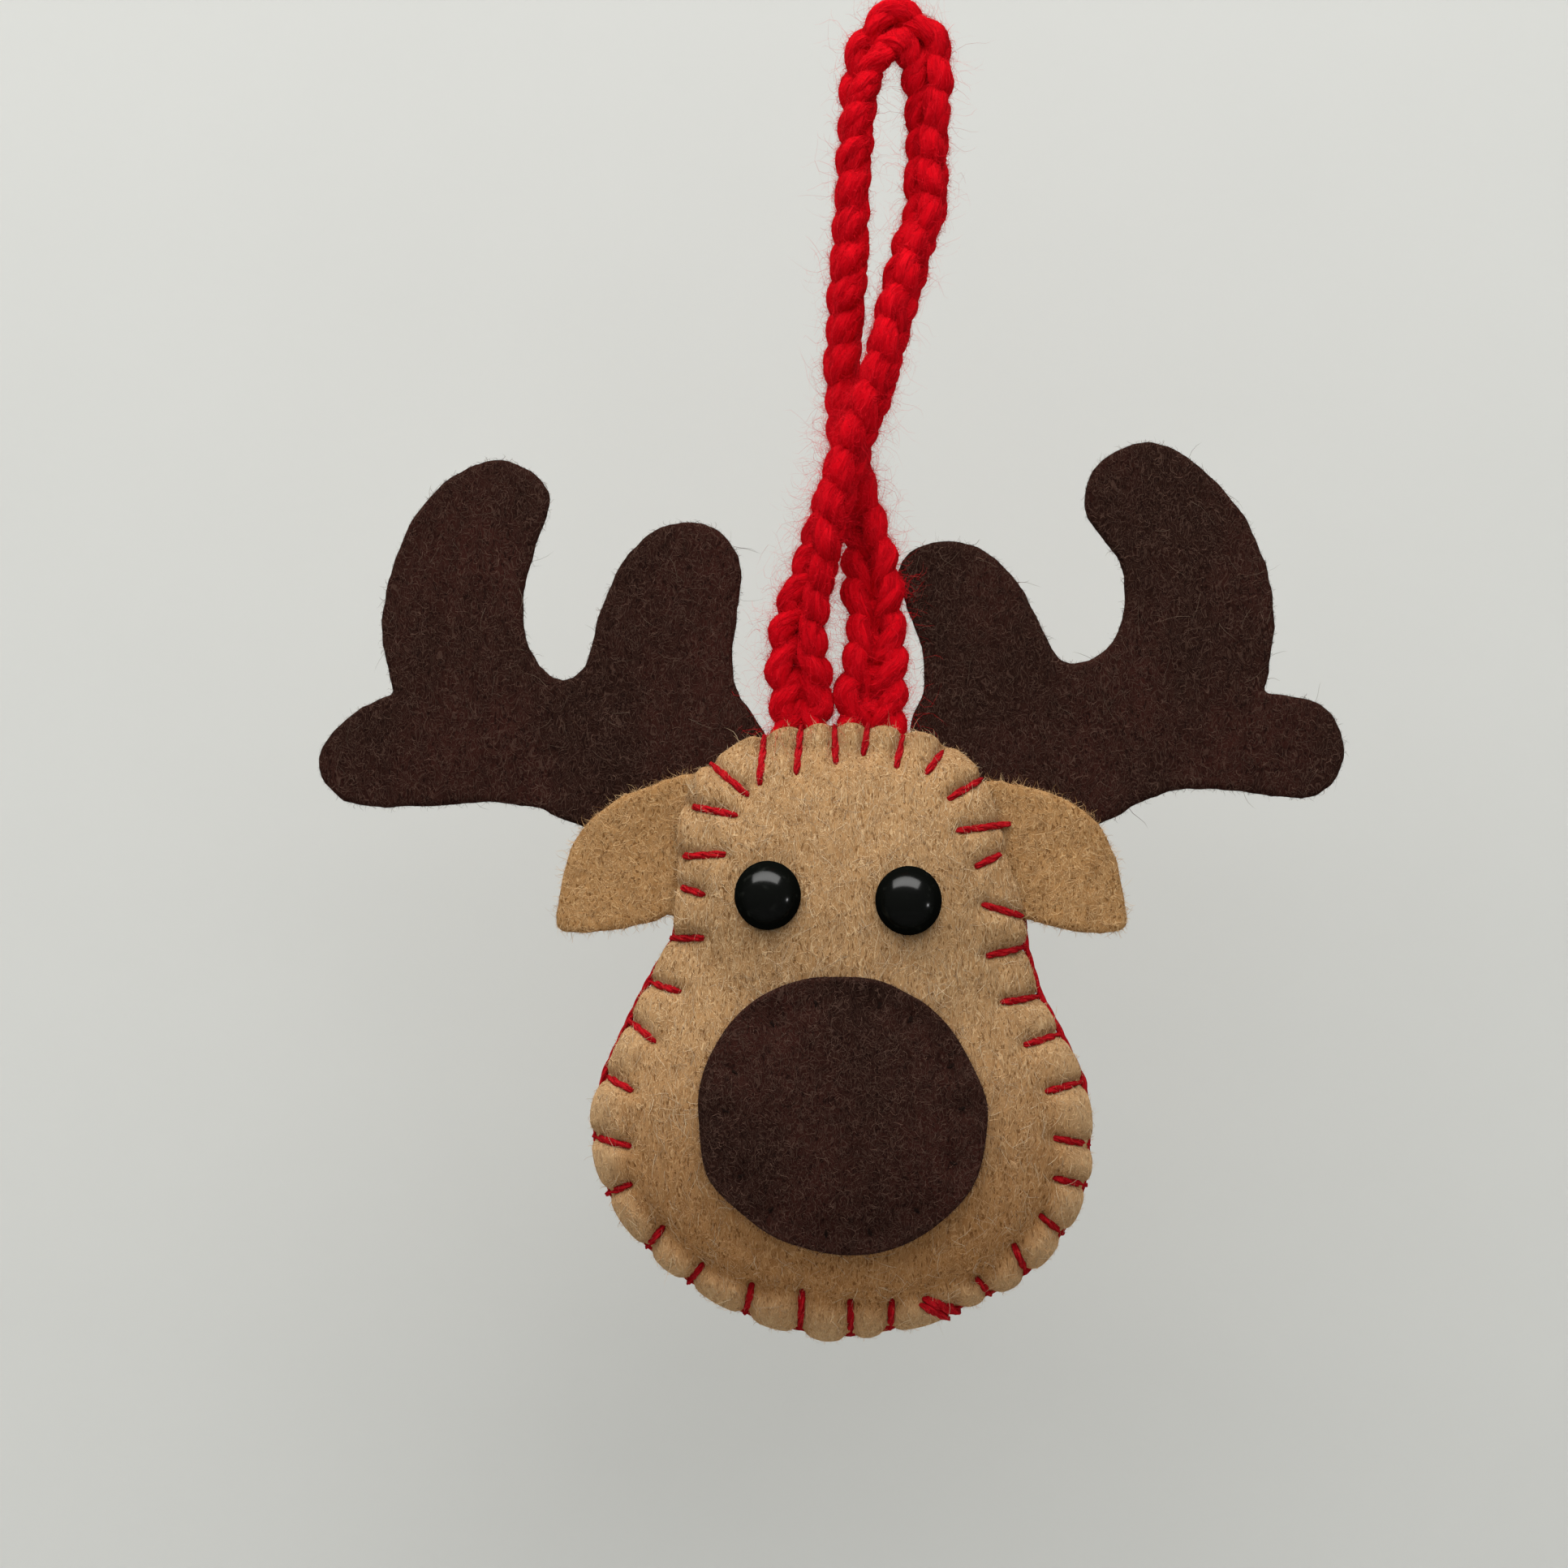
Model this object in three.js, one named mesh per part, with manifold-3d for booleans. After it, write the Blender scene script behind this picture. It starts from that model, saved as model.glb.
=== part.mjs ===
// Felt reindeer-head ornament, stuffed and hung on a crocheted loop.
// Millimetres, +Z up, the face looks along -Y. The origin is where the loop hangs.
import * as THREE from 'three';
import { mergeVertices } from 'three/addons/utils/BufferGeometryUtils.js';
import Module from 'manifold-3d';

const wasm = await Module();
wasm.setup();

// Cloth and gaps
const FELT = 1.2;
const CLEARANCE = 0.3;
const FACET_ROOM = 0.3;

// Head panels: drops are measured down from the crown
const HEAD_HEIGHT = 75.5;
const CROWN_WIDTH = 40.8;
const TEMPLE_DROP = 16.5;
const MUZZLE_WIDTH = 61.3;
const MUZZLE_DROP = 50.5;
const SWELL = 8.6;
const SWELL_POWER = 3;
const SWELL_CENTRE_DROP = 42;
const RIM_TILT = 0.86;

// Roundness of the outline: curve handles as shares of a quarter's width and height
const CROWN_ROUND = 0.62;
const RIGHT_JAW_ROUND = 0.56;
const LEFT_JAW_ROUND = 0.46;
const WAIST_FLARE = 1.1;
const WAIST_REACH = 0.456;
const CHEEK_REACH = 0.309;

// Nose disc
const NOSE_DIAMETER = 34.4;
const NOSE_DROP = 47.4;

// Eyes with moulded shanks, and the washers that lock them
const EYE_DIAMETER = 8;
const EYE_HEIGHT = 4.4;
const EYE_EDGE = 0.7;
const EYE_SPACING = 16.8;
const EYE_SHIFT = -0.6;
const EYE_DROP = 21;
const SHANK_DIAMETER = 3.2;
const SHANK_LENGTH = 8;
const SHANK_RIDGES = 4;
const RIDGE_DEPTH = 0.25;
const WASHER_DIAMETER = 9.6;
const WASHER_THICKNESS = 1.2;
const WASHER_HUB_DIAMETER = 6;
const WASHER_HUB_HEIGHT = 1;
const WASHER_DISH = 0.5;

// Ears and antlers: a tab of each is caught in the side seam
const TAB_DEPTH = 4.8;
const EAR_REACH = 14.6;
const EAR_TOP_DROP = 5.4;
const EAR_BOTTOM_DROP = 23.4;
const OPEN_BELOW_EAR = 3.6;
const ANTLER_TAB_TOP_DROP = 2.4;
const ANTLER_TAB_BOTTOM_DROP = 16.5;
const SEAM_OPENING_LENGTH = 9;

// Edge stitching
const THREAD_DIAMETER = 0.9;
const FINISH_DIAMETER = 1.7;
const STITCH_COUNT = 36;
const STITCH_BITE = 4.2;
const STITCH_LANDING = 1;
const FINISH_STITCH = 15;

// Hanging loop: the crown hangs below and to the left of the point that bears the loop
const CORD_DIAMETER = 5.6;
const CROWN_BELOW_HOOK = 82.1;
const CROWN_LEFT_OF_HOOK = 6.5;
const LEFT_FOOT_SHARE = -0.24;
const RIGHT_FOOT_SHARE = 0.176;
const TUCKED_WIDTH = 6.6;
const TUCKED_CORNER = 1.5;

// Facets
const SPOKES = 44;
const RING_SHARES = [0.22, 0.42, 0.6, 0.75, 0.88, 1];
const OUTLINE_SAMPLES = 240;
const EYE_FACETS = 18;
const CORD_SIDES = 10;
const CORD_STEPS = 60;
const INSET_STEP = 0.2;

// Sizes that follow from those above
const cordRadius = CORD_DIAMETER / 2;
const threadRadius = THREAD_DIAMETER / 2;
const crownHalf = CROWN_WIDTH / 2;
const muzzleHalf = MUZZLE_WIDTH / 2;
const leftFoot = LEFT_FOOT_SHARE * crownHalf;
const rightFoot = RIGHT_FOOT_SHARE * crownHalf;
const closedHalfGap = CLEARANCE / 2;
const openHalfGap = (2 * FELT + 3 * CLEARANCE) / 2;
const faceGap = CLEARANCE + FACET_ROOM;
const rimLift = RIM_TILT * FELT;
const openLevel = -EAR_BOTTOM_DROP - OPEN_BELOW_EAR;
const closedLevel = openLevel - SEAM_OPENING_LENGTH;
const runOffset = threadRadius + CLEARANCE;
const runTop = runOffset + threadRadius;
const footRise = runTop + CLEARANCE + cordRadius;
const swellCentre = new THREE.Vector2(0, -SWELL_CENTRE_DROP);
const FRONT = -1;
const BACK = 1;

// Colours of the felts, thread, chain and plastics
const TAN = 0xb08a61;
const BROWN = 0x33201b;
const RED = 0xbe0c1a;
const BLACK = 0x0a0a09;
const WHITE = 0xe8e6df;

function material(color, roughness) {
  return new THREE.MeshStandardMaterial({ color, roughness, metalness: 0 });
}

function named(name, geometry, color, roughness = 0.95) {
  const mesh = new THREE.Mesh(geometry, material(color, roughness));
  mesh.name = name;
  return mesh;
}

// A geometry with shared corners merged, as booleans need
function merged(geometry) {
  const bare = geometry.clone();
  bare.deleteAttribute('normal');
  bare.deleteAttribute('uv');
  return mergeVertices(bare, 1e-4);
}

function solidOf(geometry) {
  const bare = merged(geometry);
  const vertProperties = new Float32Array(bare.attributes.position.array);
  const triVerts = new Uint32Array(bare.index.array);
  return new wasm.Manifold(new wasm.Mesh({ numProp: 3, vertProperties, triVerts }));
}

function geometryOf(solid) {
  const mesh = solid.getMesh();
  const geometry = new THREE.BufferGeometry();
  geometry.setAttribute('position', new THREE.BufferAttribute(mesh.vertProperties, 3));
  geometry.setIndex(new THREE.BufferAttribute(mesh.triVerts, 1));
  geometry.computeVertexNormals();
  return geometry;
}

// Half of the head's outline, from the crown to the chin on one side (1 right, -1 left)
function halfOutline(side, jawRound) {
  const crown = new THREE.Vector2(0, 0);
  const temple = new THREE.Vector2(side * crownHalf, -TEMPLE_DROP);
  const muzzle = new THREE.Vector2(side * muzzleHalf, -MUZZLE_DROP);
  const chin = new THREE.Vector2(0, -HEAD_HEIGHT);
  const waistHeight = MUZZLE_DROP - TEMPLE_DROP;
  const jawHeight = HEAD_HEIGHT - MUZZLE_DROP;
  const forehead = new THREE.CubicBezierCurve(
    crown,
    new THREE.Vector2(CROWN_ROUND * temple.x, 0),
    new THREE.Vector2(temple.x, (1 - CROWN_ROUND) * temple.y),
    temple,
  );
  const cheek = new THREE.CubicBezierCurve(
    temple,
    new THREE.Vector2(temple.x + side * WAIST_FLARE, temple.y - WAIST_REACH * waistHeight),
    new THREE.Vector2(muzzle.x, muzzle.y + CHEEK_REACH * waistHeight),
    muzzle,
  );
  const jaw = new THREE.CubicBezierCurve(
    muzzle,
    new THREE.Vector2(muzzle.x, muzzle.y - jawRound * jawHeight),
    new THREE.Vector2(jawRound * muzzle.x, chin.y),
    chin,
  );
  return [forehead, cheek, jaw];
}

function reversed(curve) {
  return new THREE.CubicBezierCurve(curve.v3, curve.v2, curve.v1, curve.v0);
}

const rightHalf = halfOutline(1, RIGHT_JAW_ROUND);
const leftHalf = halfOutline(-1, LEFT_JAW_ROUND);
const outline = new THREE.Path();
outline.curves.push(...rightHalf, ...leftHalf.map(reversed).reverse());
const outlinePoints = outline.getSpacedPoints(OUTLINE_SAMPLES);

// The outline at a share of the way round, clockwise from the crown, with its inward direction
function edgeAt(share) {
  const wrapped = ((share % 1) + 1) % 1;
  const tangent = outline.getTangent(wrapped);
  return { point: outline.getPoint(wrapped), inward: new THREE.Vector2(tangent.y, -tangent.x) };
}

// Distance from the swell's centre to the outline in one direction
function rimRadius(angle) {
  const ray = new THREE.Vector2(Math.cos(angle), Math.sin(angle));
  for (let i = 0; i < OUTLINE_SAMPLES; i += 1) {
    const a = outlinePoints[i].clone().sub(swellCentre);
    const b = outlinePoints[i + 1].clone().sub(swellCentre);
    const sideA = ray.cross(a);
    const sideB = ray.cross(b);
    if (sideA >= 0 && sideB < 0 && ray.dot(a) > 0) {
      return a.lerp(b, sideA / (sideA - sideB)).length();
    }
  }
  return outlinePoints[0].distanceTo(swellCentre);
}

// Distance from the swell's centre to where a ray comes within a set distance of the outline
function insetRadius(angle, inset) {
  const point = new THREE.Vector2();
  let radius = rimRadius(angle);
  do {
    radius -= INSET_STEP;
    point.set(Math.cos(angle), Math.sin(angle)).multiplyScalar(radius).add(swellCentre);
  } while (outlinePoints.some((edge) => edge.distanceTo(point) < inset));
  return radius;
}

// Half of the gap between the panels' edges: ears, antlers and loop ends hold the upper seam open
function seamHalfGap(z) {
  return THREE.MathUtils.lerp(
    closedHalfGap,
    openHalfGap,
    THREE.MathUtils.smoothstep(z, closedLevel, openLevel),
  );
}

// Distance of a panel's outer face from the seam plane
function faceDepth(x, z) {
  const dx = x - swellCentre.x;
  const dz = z - swellCentre.y;
  const share = Math.hypot(dx, dz) / rimRadius(Math.atan2(dz, dx));
  const edge = seamHalfGap(z);
  return edge + rimLift + (openHalfGap + SWELL - edge) * (1 - share ** SWELL_POWER);
}

// Outward direction of a panel's face
function faceNormal(side, x, z) {
  const step = 0.05;
  const slopeX = (faceDepth(x + step, z) - faceDepth(x - step, z)) / (2 * step);
  const slopeZ = (faceDepth(x, z + step) - faceDepth(x, z - step)) / (2 * step);
  return new THREE.Vector3(-slopeX, side, -slopeZ).normalize();
}

// A point above (or, when negative, below) a panel's outer face
function onFace(side, x, z, above) {
  const point = new THREE.Vector3(x, side * faceDepth(x, z), z);
  return point.addScaledVector(faceNormal(side, x, z), above);
}

// Points from a centre out to an edge, ring by ring
function polarGrid(centre, edgeRadius, place) {
  const points = [place(centre.x, centre.y)];
  for (const share of RING_SHARES) {
    for (let i = 0; i < SPOKES; i += 1) {
      const angle = (i / SPOKES) * 2 * Math.PI;
      const radius = share * edgeRadius(angle);
      points.push(place(centre.x + radius * Math.cos(angle), centre.y + radius * Math.sin(angle)));
    }
  }
  return points;
}

// A closed body between two such grids, the first nearer the front
function bodyBetween(frontGrid, backGrid) {
  const index = [];
  const back = frontGrid.length;
  const at = (ring, spoke) => 1 + ring * SPOKES + (spoke % SPOKES);
  const lastRing = RING_SHARES.length - 1;
  for (let i = 0; i < SPOKES; i += 1) {
    index.push(0, at(0, i), at(0, i + 1));
    index.push(back, back + at(0, i + 1), back + at(0, i));
    for (let ring = 0; ring < lastRing; ring += 1) {
      const quad = [at(ring, i), at(ring + 1, i), at(ring + 1, i + 1), at(ring, i + 1)];
      index.push(quad[0], quad[1], quad[2], quad[0], quad[2], quad[3]);
      const [a, b, c, d] = quad.map((corner) => back + corner);
      index.push(a, c, b, a, d, c);
    }
    const here = at(lastRing, i);
    const next = at(lastRing, i + 1);
    index.push(here, back + here, back + next, here, back + next, next);
  }
  const geometry = new THREE.BufferGeometry().setFromPoints([...frontGrid, ...backGrid]);
  geometry.setIndex(index);
  geometry.computeVertexNormals();
  return geometry;
}

// Eye positions, left then right as seen from the front
const eyePlaces = [-EYE_SPACING / 2, EYE_SPACING / 2].map((fromMiddle) => {
  const x = EYE_SHIFT + fromMiddle;
  const normal = faceNormal(FRONT, x, -EYE_DROP);
  return {
    seat: onFace(FRONT, x, -EYE_DROP, CLEARANCE),
    turn: new THREE.Quaternion().setFromUnitVectors(new THREE.Vector3(0, 1, 0), normal),
  };
});
const shankHoleRadius = SHANK_DIAMETER / 2 + CLEARANCE;
const washerFront = -(CLEARANCE + FELT + faceGap + WASHER_DISH);
const washerBack = washerFront - WASHER_THICKNESS;

function atEye(place, geometry) {
  return geometry.applyQuaternion(place.turn).translate(...place.seat);
}

// A round cutter along an eye's shank, from one height to another
function eyeCutter(place, radius, low, high) {
  const cylinder = new THREE.CylinderGeometry(radius, radius, high - low, EYE_FACETS);
  return solidOf(atEye(place, cylinder.translate(0, (low + high) / 2, 0)));
}

// Felt panel of the head, holed for the eye shanks when it is the front one
function panel(side) {
  const outer = polarGrid(swellCentre, rimRadius, (x, z) => onFace(side, x, z, 0));
  const inner = polarGrid(swellCentre, rimRadius, (x, z) => onFace(side, x, z, -FELT));
  if (side === BACK) return bodyBetween(inner, outer);
  let solid = solidOf(bodyBetween(outer, inner));
  for (const place of eyePlaces) {
    solid = solid.subtract(eyeCutter(place, shankHoleRadius, -SHANK_LENGTH, EYE_HEIGHT));
  }
  return geometryOf(solid);
}

// Fibre fill, drawn back from the tabs in the upper seam and hollowed round the shanks
function stuffing() {
  const closedInset = FELT + 3 * CLEARANCE;
  const openInset = TAB_DEPTH + 2 * CLEARANCE;
  const edgeRadius = (angle) => {
    const level = swellCentre.y + rimRadius(angle) * Math.sin(angle);
    const open = THREE.MathUtils.smoothstep(level, closedLevel, openLevel);
    return insetRadius(angle, THREE.MathUtils.lerp(closedInset, openInset, open));
  };
  const face = (side) => (x, z) => {
    const wall = (FELT + faceGap) / Math.abs(faceNormal(side, x, z).y);
    return new THREE.Vector3(x, side * (faceDepth(x, z) - wall), z);
  };
  const front = polarGrid(swellCentre, edgeRadius, face(FRONT));
  const back = polarGrid(swellCentre, edgeRadius, face(BACK));
  let solid = solidOf(bodyBetween(front, back));
  const washerRoom = WASHER_DIAMETER / 2 + CLEARANCE;
  const hubBack = washerBack - WASHER_HUB_HEIGHT - CLEARANCE;
  const shankEnd = -SHANK_LENGTH - 2 * CLEARANCE;
  for (const place of eyePlaces) {
    solid = solid.subtract(eyeCutter(place, washerRoom, hubBack, EYE_HEIGHT));
    solid = solid.subtract(eyeCutter(place, shankHoleRadius, shankEnd, EYE_HEIGHT));
  }
  return geometryOf(solid);
}

// Felt disc that lies on the muzzle
function nose() {
  const centre = new THREE.Vector2(0, -NOSE_DROP);
  const radius = () => NOSE_DIAMETER / 2;
  const outer = polarGrid(centre, radius, (x, z) => onFace(FRONT, x, z, faceGap + FELT));
  const inner = polarGrid(centre, radius, (x, z) => onFace(FRONT, x, z, faceGap));
  return bodyBetween(outer, inner);
}

// Domed eye with a ridged shank
function eye(place) {
  const shank = SHANK_DIAMETER / 2;
  const profile = [new THREE.Vector2(0, -SHANK_LENGTH)];
  const ridge = SHANK_LENGTH / (2 * SHANK_RIDGES + 1);
  for (let i = 0; i < SHANK_RIDGES; i += 1) {
    const low = -SHANK_LENGTH + 2 * i * ridge;
    profile.push(new THREE.Vector2(shank - RIDGE_DEPTH, low));
    profile.push(new THREE.Vector2(shank, low + ridge));
  }
  profile.push(new THREE.Vector2(shank - RIDGE_DEPTH, 0));
  profile.push(new THREE.Vector2(EYE_DIAMETER / 2, 0));
  const domeSteps = 6;
  for (let i = 0; i <= domeSteps; i += 1) {
    const angle = (i / domeSteps) * (Math.PI / 2);
    const radius = i === domeSteps ? 0 : (EYE_DIAMETER / 2) * Math.cos(angle);
    profile.push(new THREE.Vector2(radius, EYE_EDGE + (EYE_HEIGHT - EYE_EDGE) * Math.sin(angle)));
  }
  return atEye(place, new THREE.LatheGeometry(profile, EYE_FACETS));
}

// Washer with a gripping hub, behind the felt
function eyeWasher(place) {
  const bore = shankHoleRadius;
  const hub = WASHER_HUB_DIAMETER / 2;
  const edge = WASHER_DIAMETER / 2;
  const profile = [
    [bore, washerFront],
    [bore, washerBack - WASHER_HUB_HEIGHT],
    [hub, washerBack - WASHER_HUB_HEIGHT],
    [hub, washerBack],
    [edge, washerBack],
    [edge, washerFront],
    [bore, washerFront],
  ].map(([radius, height]) => new THREE.Vector2(radius, height));
  return atEye(place, new THREE.LatheGeometry(profile, EYE_FACETS));
}

// The outline's half on one side, as points from the crown down
function sidePoints(side) {
  const half = new THREE.Path();
  half.curves.push(...(side > 0 ? rightHalf : leftHalf));
  return half.getSpacedPoints(OUTLINE_SAMPLES / 2);
}

// Inner edge of a tab, a set depth inside the outline, from one drop to another
function tabEdge(side, fromDrop, toDrop) {
  const points = sidePoints(side);
  const place = (drop) => points.findIndex((point) => point.y <= -drop);
  const count = 6;
  return Array.from({ length: count }, (_, i) => {
    const drop = THREE.MathUtils.lerp(fromDrop, toDrop, i / (count - 1));
    const here = place(drop);
    const along = points[here + 1].clone().sub(points[here - 1]).normalize();
    const inward = new THREE.Vector2(along.y, -along.x).multiplyScalar(side * TAB_DEPTH);
    return points[here].clone().add(inward);
  });
}

// Points of a cut felt shape beside the head: [past the crown's half width, above the crown]
function besideHead(side, points) {
  return points.map(([past, above]) => new THREE.Vector2(side * (crownHalf + past), above));
}

// Flat felt cut to a shape in the XZ plane, its front face at a depth
function cutFelt(shape, frontDepth, curveSegments) {
  const geometry = new THREE.ExtrudeGeometry(shape, {
    depth: FELT,
    bevelEnabled: false,
    curveSegments,
  });
  return geometry.rotateX(Math.PI / 2).translate(0, frontDepth + FELT, 0);
}

// Ear: its upper edge rounds over to a point at its outer foot, its lower edge rises to the seam
const earShoulderShares = [
  [0, 0.07], [0.19, 0.12], [0.38, 0.18], [0.54, 0.25], [0.69, 0.34], [0.8, 0.44], [0.87, 0.55],
  [0.92, 0.68], [0.96, 0.83], [1, 1],
];
const earPointShares = [[1.02, 1.1], [0.94, 1.11]];
const earFootShares = [[0.74, 1.11], [0.55, 1.1], [0.36, 1.07], [0.19, 1.03], [0.06, 0.99]];

function ear(side) {
  const height = EAR_BOTTOM_DROP - EAR_TOP_DROP;
  const sized = ([past, down]) => [past * EAR_REACH, -EAR_TOP_DROP - down * height];
  const beside = (shares) => besideHead(side, shares.map(sized));
  const [point, turned] = beside(earPointShares);
  const tab = tabEdge(side, EAR_TOP_DROP, EAR_BOTTOM_DROP);
  const shape = new THREE.Shape();
  shape.moveTo(tab[0].x, tab[0].y);
  shape.splineThru(beside(earShoulderShares));
  shape.quadraticCurveTo(point.x, point.y, turned.x, turned.y);
  shape.splineThru(beside(earFootShares));
  shape.lineTo(tab.at(-1).x, tab.at(-1).y);
  tab.slice(1, -1).reverse().forEach((inner) => shape.lineTo(inner.x, inner.y));
  return cutFelt(shape, -closedHalfGap - FELT, 2);
}

// Antler: its inner tine and outer tine up to the notch, then the low tine back to the seam
function antler(side, upperEdge, lowerEdge) {
  const tab = tabEdge(side, ANTLER_TAB_TOP_DROP, ANTLER_TAB_BOTTOM_DROP);
  const shape = new THREE.Shape();
  shape.moveTo(tab[0].x, tab[0].y);
  shape.splineThru(besideHead(side, upperEdge));
  shape.splineThru(besideHead(side, lowerEdge));
  shape.lineTo(tab.at(-1).x, tab.at(-1).y);
  tab.slice(1, -1).reverse().forEach((point) => shape.lineTo(point.x, point.y));
  return cutFelt(shape, closedHalfGap, 2);
}

const leftUpperEdge = [
  [-10.9, -1.1], [-7.7, 3.4], [-6.8, 8.2], [-7.4, 14.3], [-7.9, 19.4], [-6.0, 23.3], [-1.7, 25],
  [3.3, 23.6], [6.8, 19.6], [9.5, 13.3], [11.1, 7.3], [13.9, 5.3], [17.3, 7.5], [19.1, 13.1],
  [18.3, 19.6], [16.1, 26.1], [15.9, 29], [18.8, 31.8], [22.4, 32.7], [26.8, 31.3], [31.6, 26.8],
  [34.6, 20.9], [36.3, 13.8], [35.9, 8.3], [34.9, 3.8],
];
const leftLowerEdge = [
  [39.3, 1.8], [43.3, -1.9], [44.1, -5.2], [42.5, -8.3], [39.3, -9.9], [31.3, -10], [23.1, -9.5],
  [17.3, -10.1], [12, -12.4], [0.6, -16.2],
];
const rightUpperEdge = [
  [-11.9, -0.6], [-10.3, 3.8], [-10.1, 7.8], [-11.6, 12.8], [-13.2, 17.7], [-12.7, 20.5],
  [-10.1, 22.2], [-6.1, 22.5], [-1.9, 20.9], [1.7, 16.8], [4.4, 11.6], [6.4, 8.1], [8.9, 7.6],
  [12.4, 9], [14.5, 13.3], [14.5, 18.8], [12.1, 23.1], [9.9, 26.1], [10.1, 30.1], [12.9, 33.4],
  [17, 34.9], [21.4, 33.6], [26.4, 29.5], [30.4, 23.8], [32.7, 16.8], [32.8, 9.8], [31.6, 3.8],
];
const rightLowerEdge = [
  [35.9, 3.5], [39.4, 2.1], [41.6, -1.7], [41.2, -5.7], [38.4, -8.6], [34.4, -8.9], [26.9, -7.9],
  [20.9, -8], [15.9, -9.7], [12.1, -11.9], [0.6, -16],
];

// Tube of a polygon section along a curve through points
function tube(points, radius, sides, steps) {
  const section = new THREE.Shape(
    Array.from({ length: sides }, (_, i) => {
      const angle = (i / sides) * 2 * Math.PI;
      return new THREE.Vector2(radius * Math.cos(angle), radius * Math.sin(angle));
    }),
  );
  const extrudePath = new THREE.CatmullRomCurve3(points, false, 'centripetal');
  return new THREE.ExtrudeGeometry(section, { extrudePath, steps, bevelEnabled: false });
}

// Depth of the thread that runs along the edge: one run below, two where the seam is held open
function runDepth(z) {
  const open = THREE.MathUtils.smoothstep(z, closedLevel, openLevel);
  return open * (openHalfGap + rimLift);
}

// A strand of square section, grown ring by ring: corners run back-outer, front-outer,
// front-inner, back-inner on the edge run, and keep that turning sense along every branch
class Strand {
  points = [];

  index = [];

  ring(centre, wide, high) {
    const first = this.points.length;
    for (const [w, h] of [[-1, 1], [1, 1], [1, -1], [-1, -1]]) {
      this.points.push(centre.clone().addScaledVector(wide, w).addScaledVector(high, h));
    }
    return [first, first + 1, first + 2, first + 3];
  }

  quad(a, b, c, d) {
    this.index.push(a, b, c, a, c, d);
  }

  // Walls between two rings, less the sides that a branch grows from
  walls(from, to, openSides = []) {
    for (let side = 0; side < 4; side += 1) {
      const next = (side + 1) % 4;
      if (!openSides.includes(side)) this.quad(from[side], from[next], to[next], to[side]);
    }
  }

  geometry() {
    const geometry = new THREE.BufferGeometry().setFromPoints(this.points);
    geometry.setIndex(this.index);
    geometry.computeVertexNormals();
    return geometry;
  }
}

const FRONT_SIDE = 1;
const BACK_SIDE = 3;
const growsFront = (from, to) => [to[1], from[1], from[2], to[2]];
const growsBack = (from, to) => [from[0], to[0], to[3], from[3]];
const endsInBack = (from, to) => [to[0], from[0], from[3], to[3]];

// Two rings of the edge run, a thread's width apart, centred at a share of the way round
function runPair(strand, side, share) {
  const half = threadRadius / outline.getLength();
  return [share - half, share + half].map((place) => {
    const { point, inward } = edgeAt(place);
    const centre = point.clone().addScaledVector(inward, -runOffset);
    return strand.ring(
      new THREE.Vector3(centre.x, side * runDepth(point.y), centre.y),
      new THREE.Vector3(0, -threadRadius, 0),
      new THREE.Vector3(-inward.x, 0, -inward.y).multiplyScalar(threadRadius),
    );
  });
}

// One stitch from a face of the edge run over the rim and onto a panel's face
function stitch(strand, side, share, base, radius) {
  const { point, inward } = edgeAt(share);
  const along = (inset) => point.clone().addScaledVector(inward, inset);
  const above = radius + CLEARANCE;
  const sideways = new THREE.Vector3(-inward.y, 0, inward.x).multiplyScalar(side * radius);
  const shoulder = along(-runOffset);
  const rimDepth = faceDepth(point.x, point.y);
  const places = [
    {
      centre: new THREE.Vector3(shoulder.x, side * (rimDepth + above), shoulder.y),
      high: new THREE.Vector3(-inward.x, side, -inward.y).normalize(),
    },
    ...[STITCH_LANDING, STITCH_BITE / 2, STITCH_BITE].map((inset) => {
      const spot = along(inset);
      return {
        centre: onFace(side, spot.x, spot.y, above),
        high: faceNormal(side, spot.x, spot.y),
      };
    }),
  ];
  let last = base;
  for (const { centre, high } of places) {
    const ring = strand.ring(centre, sideways, high.multiplyScalar(radius));
    strand.walls(last, ring);
    last = ring;
  }
  strand.quad(...last);
}

// Blanket stitch all round: a run along the edge, doubled behind the held-open seam,
// and a stitch on each face at every step
function edgeThread() {
  const strand = new Strand();
  const places = Array.from({ length: 2 * STITCH_COUNT }, (_, i) => (i + 1) / (2 * STITCH_COUNT));
  const hasStitch = (i) => i % 2 === 0;
  const isLow = places.map((share) => runDepth(edgeAt(share).point.y) < runOffset);
  const linkBeside = (i, step) => (hasStitch(i) ? i + step : i);
  const firstLow = linkBeside(isLow.indexOf(true), -1);
  const lastLow = linkBeside(isLow.lastIndexOf(true), 1);
  const frontPairs = places.map((share) => runPair(strand, FRONT, share));
  let back = growsBack(...frontPairs[lastLow]);
  places.forEach((share, i) => {
    const [from, to] = frontPairs[i];
    const next = frontPairs[(i + 1) % places.length][0];
    const inLow = i > firstLow && i < lastLow;
    const open = [];
    if (hasStitch(i)) {
      const radius = i === 2 * FINISH_STITCH ? FINISH_DIAMETER / 2 : threadRadius;
      stitch(strand, FRONT, share, growsFront(from, to), radius);
      open.push(FRONT_SIDE);
      if (inLow) stitch(strand, BACK, share, growsBack(from, to), threadRadius);
    }
    if ((hasStitch(i) && inLow) || i === firstLow || i === lastLow) open.push(BACK_SIDE);
    strand.walls(from, to, open);
    strand.walls(to, next);
  });
  for (let i = lastLow + 1; i < firstLow + places.length; i += 1) {
    const share = places[i % places.length];
    const [from, to] = runPair(strand, BACK, share);
    strand.walls(back, from);
    if (hasStitch(i)) stitch(strand, BACK, share, growsBack(from, to), threadRadius);
    strand.walls(from, to, hasStitch(i) ? [BACK_SIDE] : []);
    back = to;
  }
  strand.walls(back, endsInBack(...frontPairs[firstLow]));
  return strand.geometry();
}

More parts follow.
